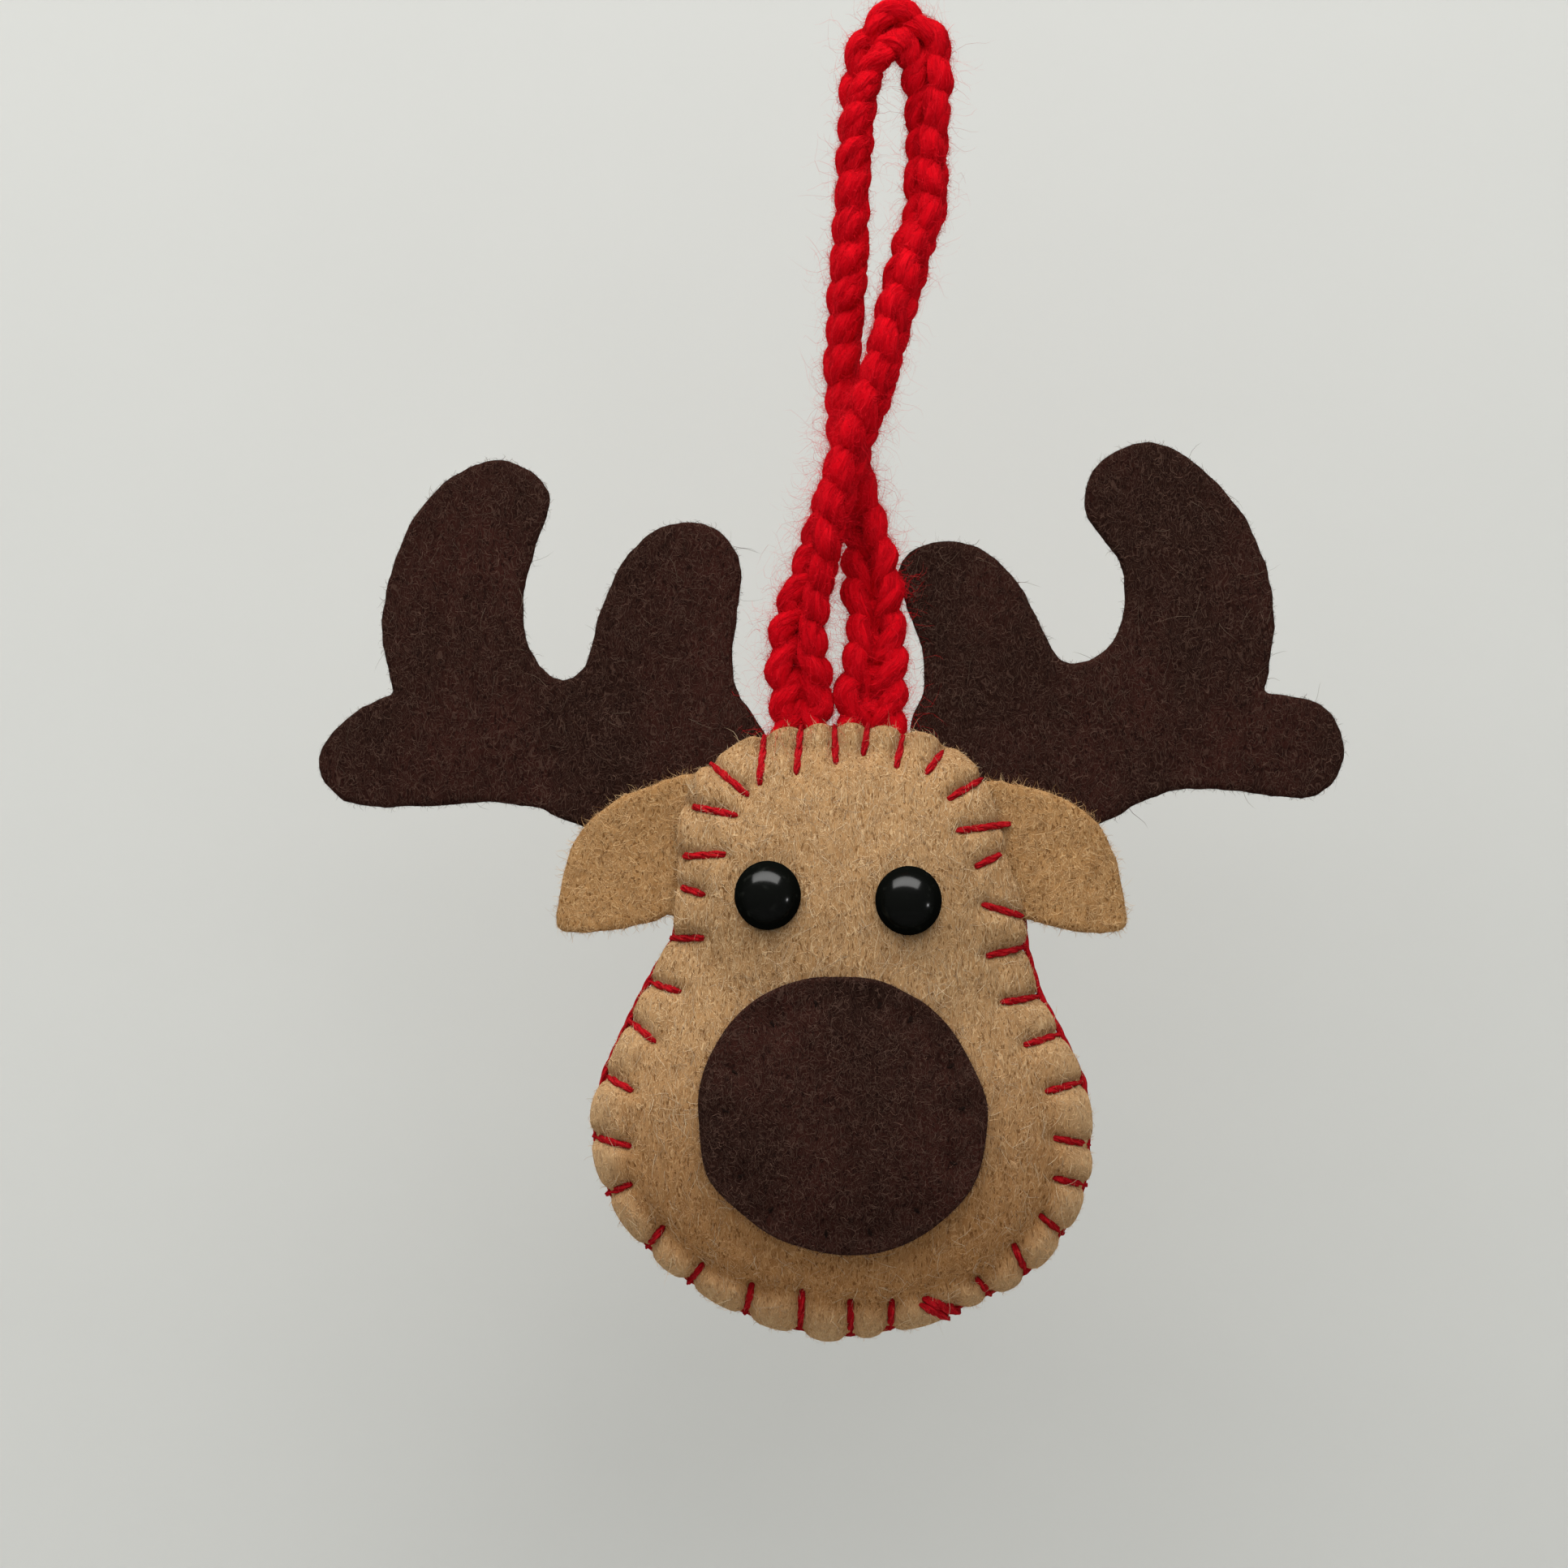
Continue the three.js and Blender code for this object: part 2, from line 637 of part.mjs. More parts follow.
// End of the chain, squeezed flat between the panels under a foot of the loop
function tuckedEnd(x) {
  const half = TUCKED_WIDTH / 2;
  const low = -TAB_DEPTH;
  const shape = new THREE.Shape();
  shape.moveTo(x - half, runTop);
  shape.lineTo(x - half, low + TUCKED_CORNER);
  shape.quadraticCurveTo(x - half, low, x - half + TUCKED_CORNER, low);
  shape.lineTo(x + half - TUCKED_CORNER, low);
  shape.quadraticCurveTo(x + half, low, x + half, low + TUCKED_CORNER);
  shape.lineTo(x + half, runTop);
  const thickness = 2 * (openHalfGap - CLEARANCE);
  const geometry = new THREE.ExtrudeGeometry(shape, {
    depth: thickness,
    bevelEnabled: false,
    curveSegments: 3,
  });
  return geometry.rotateX(Math.PI / 2).translate(0, thickness / 2, 0);
}

// Feet of the loop, over the tucked ends, and the chain's route between them
const footHeight = -CROWN_BELOW_HOOK + footRise;
const loopRoute = [
  [leftFoot - CROWN_LEFT_OF_HOOK, 0, footHeight],
  [-11.7, -0.3, -73], [-10.5, -1, -67], [-8.7, -2.3, -61], [-7.8, -2.8, -57], [-6.2, -3.2, -51.5],
  [-4.3, -3.3, -46], [-1.8, -3.2, -39.5], [0.5, -2, -31], [3, -0.7, -22.5], [4.2, 0, -14],
  [4.5, 0, -6], [3.5, 0, 0.2], [0.3, 0, 2.8], [-3, 0, -0.3], [-4.6, 0, -6.4], [-5.1, 0, -14],
  [-5.2, 0.6, -22], [-5.6, 1.6, -31], [-6, 2.7, -38], [-5.5, 3.3, -45], [-4.5, 3.3, -51],
  [-3.3, 2.9, -57], [-2.7, 2.2, -61], [-2.3, 1, -67], [-2.3, 0.3, -73],
  [rightFoot - CROWN_LEFT_OF_HOOK, 0, footHeight],
].map(([x, y, z]) => new THREE.Vector3(x, y, z));

function hangingLoop() {
  let solid = solidOf(tube(loopRoute, cordRadius, CORD_SIDES, CORD_STEPS));
  for (const foot of [loopRoute[0], loopRoute.at(-1)]) {
    const round = new THREE.SphereGeometry(cordRadius, CORD_SIDES, CORD_SIDES / 2);
    solid = solid.add(solidOf(round.translate(foot.x, foot.y, foot.z)));
  }
  return geometryOf(solid);
}

const head = new THREE.Group();
head.position.set(-CROWN_LEFT_OF_HOOK, 0, -CROWN_BELOW_HOOK);
head.add(
  named('front_panel', panel(FRONT), TAN),
  named('back_panel', panel(BACK), TAN),
  named('stuffing', stuffing(), WHITE),
  named('nose', nose(), BROWN),
  named('ear_left', ear(-1), TAN),
  named('ear_right', ear(1), TAN),
  named('antler_left', antler(-1, leftUpperEdge, leftLowerEdge), BROWN),
  named('antler_right', antler(1, rightUpperEdge, rightLowerEdge), BROWN),
  named('edge_thread', edgeThread(), RED, 0.8),
  named('loop_end_left', tuckedEnd(leftFoot), RED),
  named('loop_end_right', tuckedEnd(rightFoot), RED),
);
for (const [i, side] of ['left', 'right'].entries()) {
  head.add(named(`eye_${side}`, eye(eyePlaces[i]), BLACK, 0.08));
  head.add(named(`eye_washer_${side}`, eyeWasher(eyePlaces[i]), WHITE, 0.5));
}

const ornament = new THREE.Group();
ornament.add(head, named('hanging_loop', hangingLoop(), RED));

export default ornament;
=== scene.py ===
"""Looks of a stuffed felt reindeer-head ornament on its crocheted hanging loop.

Lengths are in millimetres until a mesh is made; materials and the stage are in metres. The
face looks along -Y. The head's own points are measured from its crown, across (x), back (y)
and up (z).
"""

import math

import bmesh
import bpy
import numpy as np
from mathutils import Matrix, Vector, noise
from mathutils.bvhtree import BVHTree


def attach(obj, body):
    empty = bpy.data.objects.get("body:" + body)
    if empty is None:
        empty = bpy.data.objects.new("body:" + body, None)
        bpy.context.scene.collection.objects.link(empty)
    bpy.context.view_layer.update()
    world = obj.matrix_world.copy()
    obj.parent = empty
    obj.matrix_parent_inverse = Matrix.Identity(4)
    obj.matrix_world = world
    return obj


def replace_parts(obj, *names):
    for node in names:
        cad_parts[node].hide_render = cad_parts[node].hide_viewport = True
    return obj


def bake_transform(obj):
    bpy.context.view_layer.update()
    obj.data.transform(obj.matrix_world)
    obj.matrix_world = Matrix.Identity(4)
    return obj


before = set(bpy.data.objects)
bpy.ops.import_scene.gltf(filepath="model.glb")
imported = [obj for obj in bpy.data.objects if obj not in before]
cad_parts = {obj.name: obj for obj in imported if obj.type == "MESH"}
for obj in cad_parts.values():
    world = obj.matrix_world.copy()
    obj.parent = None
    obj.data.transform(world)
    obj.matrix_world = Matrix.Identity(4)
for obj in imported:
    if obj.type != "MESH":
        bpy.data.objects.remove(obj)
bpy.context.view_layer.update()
bpy.ops.object.select_all(action="DESELECT")

# The crown's place in the frame, the felt's thickness, and the sides as signs along y
MM = 0.001
CROWN = np.array([-6.5, 0.0, -82.1])
FELT = 1.2
FRONT, BACK = -1, 1

# Pear-shaped edge of the face as it was cut, clockwise from the left of the crown (x, z)
HEAD_EDGE = np.array([
    (-9.2, -1.2), (-0.7, 0.0), (7.3, -0.7), (12.3, -2.2), (16.3, -5.2), (18.2, -8.7),
    (19.8, -13.9), (20.5, -17.4), (21.4, -20.1), (22.3, -23.5), (22.8, -28.7), (24.3, -33.2),
    (27.0, -38.2), (29.3, -42.7), (30.5, -47.7), (30.6, -53.7), (29.8, -57.7), (27.3, -62.7),
    (22.8, -67.7), (17.3, -70.7), (11.3, -73.2), (5.3, -74.7), (-0.7, -75.5), (-5.2, -74.7),
    (-11.7, -72.7), (-18.7, -68.7), (-23.7, -64.7), (-27.7, -59.7), (-30.2, -53.7),
    (-30.7, -47.7), (-29.2, -43.2), (-26.7, -37.7), (-24.2, -32.7), (-21.7, -27.7),
    (-20.6, -25.1), (-20.4, -21.9), (-20.2, -19.2), (-20.1, -15.7), (-20.1, -12.3),
    (-19.0, -9.1), (-16.8, -5.1),
])

# Edge stitches, clockwise from the crown: outer end (x, z), inner end (x, z)
STITCHES = np.array([
    (-0.9, 0.0, -0.8, -4.7), (3.2, 0.0, 2.6, -3.7), (7.5, -1.4, 6.6, -5.2),
    (12.3, -3.4, 10.3, -6.0), (17.1, -6.7, 13.0, -9.1), (20.6, -12.2, 14.0, -13.0),
    (19.2, -16.0, 16.3, -17.3), (22.1, -23.5, 17.1, -22.0), (22.1, -27.4, 17.6, -28.2),
    (24.1, -33.5, 19.5, -33.9), (26.6, -38.2, 22.3, -39.1), (29.4, -44.0, 24.9, -44.8),
    (30.4, -51.7, 25.9, -50.5), (30.1, -56.7, 26.0, -55.5), (27.3, -62.7, 24.3, -60.1),
    (22.7, -67.4, 21.0, -63.7), (18.3, -70.2, 16.6, -68.0), (14.3, -72.3, 10.3, -70.4),
    (6.0, -74.3, 6.1, -70.5), (1.1, -75.0, 1.0, -70.4), (-5.1, -74.3, -4.9, -69.1),
    (-11.9, -72.4, -11.0, -68.5), (-18.9, -68.8, -17.1, -66.2), (-23.9, -64.2, -21.9, -61.5),
    (-28.9, -57.8, -25.9, -56.3), (-30.4, -50.7, -25.9, -51.5), (-29.2, -43.2, -25.7, -44.7),
    (-26.2, -36.4, -22.9, -38.7), (-23.6, -31.7, -19.9, -32.6), (-20.3, -26.2, -16.9, -26.0),
    (-19.4, -20.0, -16.9, -20.7), (-19.1, -16.1, -14.3, -15.8), (-18.0, -10.1, -13.0, -11.1),
    (-16.2, -4.7, -11.6, -8.6), (-9.5, -1.2, -10.1, -7.2), (-5.0, 0.0, -5.6, -5.9),
]).reshape(-1, 2, 2)

# The thick finishing stitch's place among them, and the thread's end beside it
FINISHING = 17
KNOT = np.array([(13.0, -73.0), (9.7, -71.0)])

# Route of the hanging loop from its left foot, over the hook, to its right foot
LOOP_ROUTE = np.array([
    (-11.4, 0, -77.8), (-11.7, -0.3, -73), (-10.5, -1, -67), (-8.7, -2.3, -61), (-7.8, -2.8, -57),
    (-6.2, -3.2, -51.5), (-4.3, -3.3, -46), (-1.8, -3.2, -39.5), (0.5, -2, -31), (3, -0.7, -22.7),
    (4.4, -0.2, -18.8), (4.4, 0, -14), (4.6, 0, -6), (3.8, 0, 0.6), (0.6, 0, 3.4),
    (-2.8, 0, 0.2), (-4.2, 0, -6.4),
    (-4.8, 0, -14), (-5.1, 0.6, -22), (-5.6, 1.6, -31), (-6, 2.7, -38), (-5.5, 3.3, -45),
    (-4.5, 3.3, -51), (-3.3, 2.9, -57), (-2.7, 2.2, -61), (-2.3, 1, -67), (-2.3, 0.3, -73),
    (-3.0, 0, -77.8),
])


def ramp(values, start, end):
    """Shares of the way from start to end, from 0 to 1."""
    return np.clip((values - start) / (end - start), 0, 1)


def nearness(distance, width):
    """1 at no distance, falling off smoothly over a width."""
    return np.exp(-((distance / width) ** 2))


# Materials


class Tone:
    """A value that varies over a surface. Arithmetic on it adds Math nodes."""

    def __init__(self, nodes, socket):
        self.nodes = nodes
        self.socket = socket

    def maths(self, operation, other=0.0, flipped=False):
        first, second = (other, self) if flipped else (self, other)
        return self.nodes.node("ShaderNodeMath", {"operation": operation}, {0: first, 1: second})

    def __add__(self, other):
        return self.maths("ADD", other)

    def __mul__(self, other):
        return self.maths("MULTIPLY", other)

    def __sub__(self, other):
        return self.maths("SUBTRACT", other)

    def __rsub__(self, other):
        return self.maths("SUBTRACT", other, True)

    __radd__ = __add__
    __rmul__ = __mul__


class Nodes:
    """The nodes of a material or of the world."""

    def __init__(self, tree):
        self.tree = tree

    def node(self, kind, settings, sockets, out=0):
        made = self.tree.nodes.new(kind)
        for key, value in settings.items():
            setattr(made, key, value)
        for key, value in sockets.items():
            if isinstance(value, Tone):
                self.tree.links.new(value.socket, made.inputs[key])
            else:
                made.inputs[key].default_value = value
        return Tone(self, made.outputs[out])


# Sockets of a Mix node that mixes colours
FACTOR, FIRST, SECOND, MIXED = 0, 6, 7, 2

# Between these heights, in metres, the painted shade of the chin comes in
CHIN_LEVEL, CHEEK_LEVEL = -0.15, -0.112
NO_PAINTED_SHADE = (1, 1, 1, 1)


class Finish(Nodes):
    """A material. What is the same all over goes straight on its shader's sockets."""

    def __init__(self, name, even):
        self.material = bpy.data.materials.new(name)
        self.material.use_nodes = True
        super().__init__(self.material.node_tree)
        self.shader = self.tree.nodes["Principled BSDF"]
        for socket, value in even.items():
            self.shader.inputs[socket].default_value = value

    def place(self, stretch=(1, 1, 1), source="Object", shift=(0, 0, 0)):
        point = self.node("ShaderNodeTexCoord", {}, {}, source)
        sockets = {"Vector": point, "Scale": stretch, "Location": shift}
        return self.node("ShaderNodeMapping", {}, sockets)

    def axis(self, source, name):
        """One axis of the surface's own coordinates."""
        point = self.node("ShaderNodeTexCoord", {}, {}, source)
        return self.node("ShaderNodeSeparateXYZ", {}, {"Vector": point}, name)

    def mark(self, name):
        return self.node("ShaderNodeAttribute", {"attribute_name": name}, {}, "Fac")

    def grain(self, where, scale, detail=2.0, warp=0.0):
        sockets = {"Vector": where, "Scale": scale, "Detail": detail, "Distortion": warp}
        return self.node("ShaderNodeTexNoise", {}, sockets)

    def between(self, tone, low, high):
        sockets = {"Value": tone, "From Min": low, "From Max": high}
        return self.node("ShaderNodeMapRange", {"interpolation_type": "SMOOTHSTEP"}, sockets)

    def curls(self, where, scale, turns):
        """Fine curling lines, as loose fibres lie."""
        wave = (self.grain(where, scale, 1.0, 0.9) * turns).maths("SINE")
        return self.between(wave, 0.55, 1.0)

    def mixed(self, share, first, second, blend="MIX"):
        settings = {"data_type": "RGBA", "blend_type": blend}
        sockets = {FACTOR: share, FIRST: first, SECOND: second}
        return self.node("ShaderNodeMix", settings, sockets, MIXED)

    def painted_shade_low(self, colour, tint, kept=0.0):
        """The colour with painted shade, darker from the cheeks to the chin, save where it is kept.
        """
        high = self.between(self.axis("Object", "Z"), CHIN_LEVEL, CHEEK_LEVEL)
        return self.mixed((1 - high) * (1 - kept), colour, tint, "MULTIPLY")

    def feed(self, socket, tone):
        self.tree.links.new(tone.socket, self.shader.inputs[socket])

    def relief(self, height, strength, depth):
        sockets = {"Height": height, "Strength": strength, "Distance": depth}
        self.feed("Normal", self.node("ShaderNodeBump", {}, sockets))


def felt_finish(name, base, pale, deep, patch, pale_share, deep_share, chin=NO_PAINTED_SHADE, nap=1.0):
    """Pressed felt: curled fibres, tiny pits, slow changes of tint and painted shade towards the
    chin.

    A nap above 1 draws its fibres out upright.
    """
    felt = Finish(name, {"Roughness": 0.9, "Specular IOR Level": 0.02})
    here = felt.place((1.3 * nap, 1.0, 0.8 / nap))
    there = felt.place((1.4 * nap, 0.9, 0.75 / nap), shift=(0.31, 0.17, 0.05))
    curls = felt.curls(here, scale=520.0, turns=60.0)
    finer = felt.curls(there, scale=900.0, turns=50.0)
    pits = 1 - felt.between(felt.grain(there, scale=2300.0, detail=1.0), 0.3, 0.42)
    slow = felt.between(felt.grain(here, scale=55.0, detail=3.0), 0.35, 0.7)
    mottle = felt.between(felt.grain(here, scale=700.0, detail=4.0), 0.36, 0.6)
    colour = felt.mixed(slow, base, patch)
    colour = felt.mixed((1 - mottle) * 0.36, colour, deep)
    colour = felt.mixed(curls * pale_share + finer * (pale_share * 0.6), colour, pale)
    colour = felt.mixed(pits * deep_share, colour, deep)
    # Painted shade on the cut edge where the panel overlaps an ear, for the shadowed gap there
    colour = felt.mixed(felt.mark("painted_seam_shade") * 0.8, colour, deep)
    # Painted light on the lower rim's puffed tabs, which are also kept out of the chin's painted
    # shade
    edge = felt.mark("painted_tab_light")
    colour = felt.mixed(edge * 0.4, colour, pale)
    felt.feed("Base Color", felt.painted_shade_low(colour, chin, edge))
    height = curls * 0.5 + finer * 0.35 + mottle * 0.5 - pits * 0.6
    felt.relief(height, strength=0.55, depth=0.00022)
    return felt.material


def fibre_finish(name, pale, deep, chin=NO_PAINTED_SHADE):
    """Loose fibres, each with a tint of its own."""
    fibre = Finish(name, {"Roughness": 0.85, "Specular IOR Level": 0.02})
    own = fibre.axis("UV", "X")
    # Each fibre's own tint, with painted shade towards the chin where given
    fibre.feed("Base Color", fibre.painted_shade_low(fibre.mixed(own, deep, pale), chin))
    return fibre.material


def thread_finish(name, base, pale, deep, stretch, roughness):
    """Spun thread: fine streaks along each strand."""
    thread = Finish(name, {"Specular IOR Level": 0.02})
    along = thread.place(stretch, "UV")
    streaks = thread.between(thread.grain(along, scale=1.0, detail=3.0, warp=0.4), 0.3, 0.72)
    fine = thread.between(thread.grain(along, scale=2.7, detail=2.0, warp=0.8), 0.35, 0.7)
    colour = thread.mixed(streaks, deep, base)
    colour = thread.mixed(fine * 0.3, colour, pale)
    thread.feed("Base Color", colour)
    thread.feed("Roughness", roughness + streaks * 0.15)
    thread.relief(streaks + fine * 0.6, strength=0.8, depth=0.00025)
    return thread.material


# Painted shade: the tan felt and its fibres darker and warmer towards the chin
CHIN_PAINTED_SHADE = (0.88, 0.74, 0.61, 1)
TAN_FELT = felt_finish(
    "tan_felt",
    base=(0.405, 0.23, 0.101, 1),
    pale=(0.63, 0.432, 0.24, 1),
    deep=(0.17, 0.077, 0.026, 1),
    patch=(0.37, 0.206, 0.088, 1),
    pale_share=0.6,
    deep_share=0.85,
    chin=CHIN_PAINTED_SHADE,
    nap=1.35,
)
# Painted shade: the ears' felt is the face's tan felt made darker and more saturated
SHADED_EAR_FELT = felt_finish(
    "shaded_ear_felt",
    base=(0.38, 0.202, 0.078, 1),
    pale=(0.6, 0.385, 0.19, 1),
    deep=(0.16, 0.068, 0.02, 1),
    patch=(0.37, 0.193, 0.072, 1),
    pale_share=0.6,
    deep_share=0.85,
)
BROWN_FELT = felt_finish(
    "brown_felt",
    base=(0.0195, 0.008, 0.0056, 1),
    pale=(0.085, 0.047, 0.035, 1),
    deep=(0.009, 0.0036, 0.0028, 1),
    patch=(0.034, 0.0105, 0.0078, 1),
    pale_share=0.45,
    deep_share=0.7,
)
TAN_FIBRE = fibre_finish("tan_fibre", (0.74, 0.53, 0.31, 1), (0.33, 0.175, 0.07, 1), CHIN_PAINTED_SHADE)
# The ears' fibres are darkened likewise: painted shade
SHADED_EAR_FIBRE = fibre_finish("shaded_ear_fibre", (0.70, 0.47, 0.245, 1), (0.31, 0.154, 0.054, 1))
PALE_FIBRE = fibre_finish("pale_fibre", (0.70, 0.54, 0.35, 1), (0.36, 0.26, 0.17, 1))
DULL_FIBRE = fibre_finish("dull_fibre", (0.16, 0.11, 0.08, 1), (0.05, 0.03, 0.022, 1))
BROWN_FIBRE = fibre_finish("brown_fibre", (0.15, 0.086, 0.064, 1), (0.014, 0.006, 0.0044, 1))
YARN = thread_finish(
    "red_yarn",
    base=(0.63, 0.0027, 0.009, 1),
    pale=(0.77, 0.0095, 0.019, 1),
    deep=(0.47, 0.0015, 0.0064, 1),
    stretch=(150.0, 5.0, 1.0),
    roughness=0.78,
)
YARN_FIBRE = fibre_finish("yarn_fibre", (0.73, 0.0115, 0.0225, 1), (0.47, 0.0026, 0.0086, 1))
FLOSS = thread_finish(
    "red_floss",
    base=(0.50, 0.006, 0.014, 1),
    pale=(0.70, 0.04, 0.042, 1),
    deep=(0.32, 0.002, 0.006, 1),
    stretch=(700.0, 3.0, 1.0),
    roughness=0.5,
)
BROWN_FLOSS = thread_finish(
    "brown_floss",
    base=(0.02, 0.009, 0.007, 1),
    pale=(0.05, 0.03, 0.024, 1),
    deep=(0.01, 0.005, 0.004, 1),
    stretch=(700.0, 3.0, 1.0),
    roughness=0.6,
)


def eye_finish():
    """Polished black plastic with faint handling marks."""
    even = {"Specular IOR Level": 0.0, "Roughness": 0.6, "Coat Roughness": 0.16}
    gloss = Finish("eye_gloss", even)
    dust = gloss.between(gloss.grain(gloss.place(), scale=900.0, detail=4.0), 0.58, 0.8)
    clean, dusty = (0.003, 0.0034, 0.0028, 1), (0.012, 0.013, 0.011, 1)
    gloss.feed("Base Color", gloss.mixed(dust, clean, dusty))
    turned = gloss.node("ShaderNodeLayerWeight", {}, {"Blend": 0.5}, "Facing")
    gloss.feed("Coat Weight", 1 - gloss.between(turned, 0.13, 0.42))
    return gloss.material


def washer_finish():
    """Moulded white plastic."""
    plastic = Finish("washer_plastic", {"IOR": 1.46})
    mottle = plastic.grain(plastic.place(), scale=700.0, detail=3.0)
    dull, bright = (0.78, 0.77, 0.73, 1), (0.88, 0.87, 0.84, 1)
    plastic.feed("Base Color", plastic.mixed(mottle, dull, bright))
    plastic.feed("Roughness", 0.38 + mottle * 0.2)
    plastic.relief(mottle, strength=0.1, depth=0.0001)
    return plastic.material


def fill_finish():
    """Loose white fibre fill."""
    fill = Finish("fibre_fill", {"Roughness": 0.95, "Specular IOR Level": 0.1})
    here = fill.place()
    curls = fill.curls(here, scale=300.0, turns=50.0)
    fill.feed("Base Color", fill.mixed(curls, (0.66, 0.65, 0.62, 1), (0.85, 0.84, 0.81, 1)))
    fill.relief(curls + fill.grain(here, scale=500.0, detail=4.0), strength=0.8, depth=0.0006)
    return fill.material


# Ways to make and change a piece


def linked(name, data):
    piece = bpy.data.objects.new(name, data)
    bpy.context.scene.collection.objects.link(piece)
    return piece


def make_active(piece):
    bpy.ops.object.select_all(action="DESELECT")
    piece.select_set(True)
    bpy.context.view_layer.objects.active = piece


def dressed(piece, material, body="head"):
    """A finished piece: smooth, in its material, riding on its body."""
    piece.data.materials.clear()
    piece.data.materials.append(material)
    piece.data.shade_smooth()
    if body:
        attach(piece, body)
    return piece


def points_of(piece):
    points = np.zeros(len(piece.data.vertices) * 3, np.float32)
    piece.data.vertices.foreach_get("co", points)
    return points.reshape(-1, 3).astype(float) / MM


def move_points(piece, points):
    piece.data.vertices.foreach_set("co", (points * MM).astype(np.float32).ravel())
    piece.data.update()


def applied(piece, kind, **settings):
    modifier = piece.modifiers.new(kind.lower(), kind)
    for key, value in settings.items():
        setattr(modifier, key, value)
    make_active(piece)
    bpy.ops.object.modifier_apply(modifier=modifier.name)


def turned_out(piece):
    """Doubles merged and every face turned outwards."""
    make_active(piece)
    bpy.ops.object.mode_set(mode="EDIT")
    bpy.ops.mesh.select_all(action="SELECT")
    bpy.ops.mesh.remove_doubles(threshold=1e-7)
    bpy.ops.mesh.normals_make_consistent(inside=False)
    bpy.ops.object.mode_set(mode="OBJECT")


def woven_mesh(name, points, face_sets, uv):
    """A piece from points in millimetres and arrays of faces with equal corners."""
    mesh = bpy.data.meshes.new(name)
    corners = np.concatenate([faces.ravel() for faces in face_sets]).astype(np.int32)
    sizes = np.concatenate([np.full(len(faces), faces.shape[1]) for faces in face_sets])
    mesh.vertices.add(len(points))
    mesh.vertices.foreach_set("co", (points * MM).astype(np.float32).ravel())
    mesh.loops.add(len(corners))
    mesh.loops.foreach_set("vertex_index", corners)
    mesh.polygons.add(len(sizes))
    starts = np.concatenate([[0], np.cumsum(sizes)[:-1]]).astype(np.int32)
    mesh.polygons.foreach_set("loop_start", starts)
    mesh.update(calc_edges=True)
    layer = mesh.uv_layers.new(name="UVMap")
    layer.data.foreach_set("uv", uv[corners].astype(np.float32).ravel())
    return linked(name, mesh)


def length_along(points):
    return np.concatenate([[0], np.cumsum(np.linalg.norm(np.diff(points, axis=0), axis=1))])


def even_line(points, count=None, step=None, closed=False):
    """A smooth line through points, spaced evenly along its length."""
    given = np.asarray(points, float)
    if closed:
        knots = np.vstack([given[-1:], given, given[:2]])
    else:
        knots = np.vstack([2 * given[0] - given[1], given, 2 * given[-1] - given[-2]])
    a, b, c, d = (knots[i : len(knots) - 3 + i][:, None] for i in range(4))
    t = np.linspace(0, 1, 24, endpoint=False)[None, :, None]
    fine = b + (c - a) * t / 2 + (2 * a - 5 * b + 4 * c - d) * t**2 / 2
    fine = fine + (3 * b - a - 3 * c + d) * t**3 / 2
    fine = np.vstack([fine.reshape(-1, given.shape[1]), c[-1]])
    reach = length_along(fine)
    count = count or max(2, round(reach[-1] / step))
    stops = np.linspace(0, reach[-1], count if closed else count + 1, endpoint=not closed)
    return np.stack([np.interp(stops, reach, fine[:, i]) for i in range(given.shape[1])], 1)


def unevenness(points, height, size, seed):
    """Slow random rises and falls of about one height and size."""
    shift = Vector((seed * 7.3, seed * 3.1, seed * 5.7))
    return height * np.array([noise.noise(Vector(p) / size + shift) for p in points])


def face_unevenness(flat, height, size, seed):
    """The same over a grid of places on the face."""
    spots = np.dstack([flat, np.zeros(flat.shape[:2])]).reshape(-1, 3)
    return unevenness(spots, height, size, seed).reshape(flat.shape[:2])


# The head panels

SEGMENTS = 540
FACE_ROWS, CUT_ROWS, LINING_ROWS = 46, 6, 20
SWELL_CENTRE = np.array([0.0, -42.0])
OPEN_GAP, CLOSED_GAP, RIM_LIFT, SWELL = 1.65, 0.15, 1.03, 8.6

# The seam closes over this height below the lowest tab in it, and dips at the crown's shoulders
EAR_FOOT, ANTLER_FOOT, CLOSING = -23.8, -17.5, 4.8
SHOULDER_LEVEL, SHOULDER_WIDTH, SHOULDER_DIP = -3.3, 1.5, 1.1

EYES = [np.array([-9.0, -20.8]), np.array([7.8, -21.4])]
DIMPLE_WIDTH, DIMPLE_DEPTH = 4.45, 0.45
NOSE_CENTRE = np.array([0.1, -47.3])
HOLLOW_RADIUS, HOLLOW_WIDTH, HOLLOW_DEPTH = 17.6, 2.6, 0.75

# How far the nose's cut edge reaches, in sixteen even turns from its right, over its top
NOSE_REACH = [
    17.0, 16.4, 16.3, 16.5, 16.5, 17.1, 17.5, 17.6,
    17.2, 17.7, 16.8, 16.3, 16.5, 16.8, 17.1, 17.3,
]

# Stitches pull the rim in over a width, and let it puff out fully when this far apart
PULL_WIDTH, FULL_PUFF = 0.9, 6
PULL_IN, CHIN_PULL_IN = 0.5, 0.1
PUFF_OUT, CHIN_PUFF_OUT = 0.2, 0.12

# They also raise pillows between them, with a valley past their inner ends
PILLOW, CHIN_PILLOW, PILLOW_AT, PILLOW_WIDTH = 0.6, 0.4, 0.45, 0.4
VALLEY, CHIN_VALLEY, VALLEY_AT, VALLEY_WIDTH = 0.3, 0.45, 0.2, 1.2

# Each one dents the felt under it and, close to the rim, puckers what is beside it
DENT, DENT_WIDTH = 0.95, 0.8
PUCKER, PUCKER_WIDTH, PUCKER_REACH = 0.4, 1.9, 5

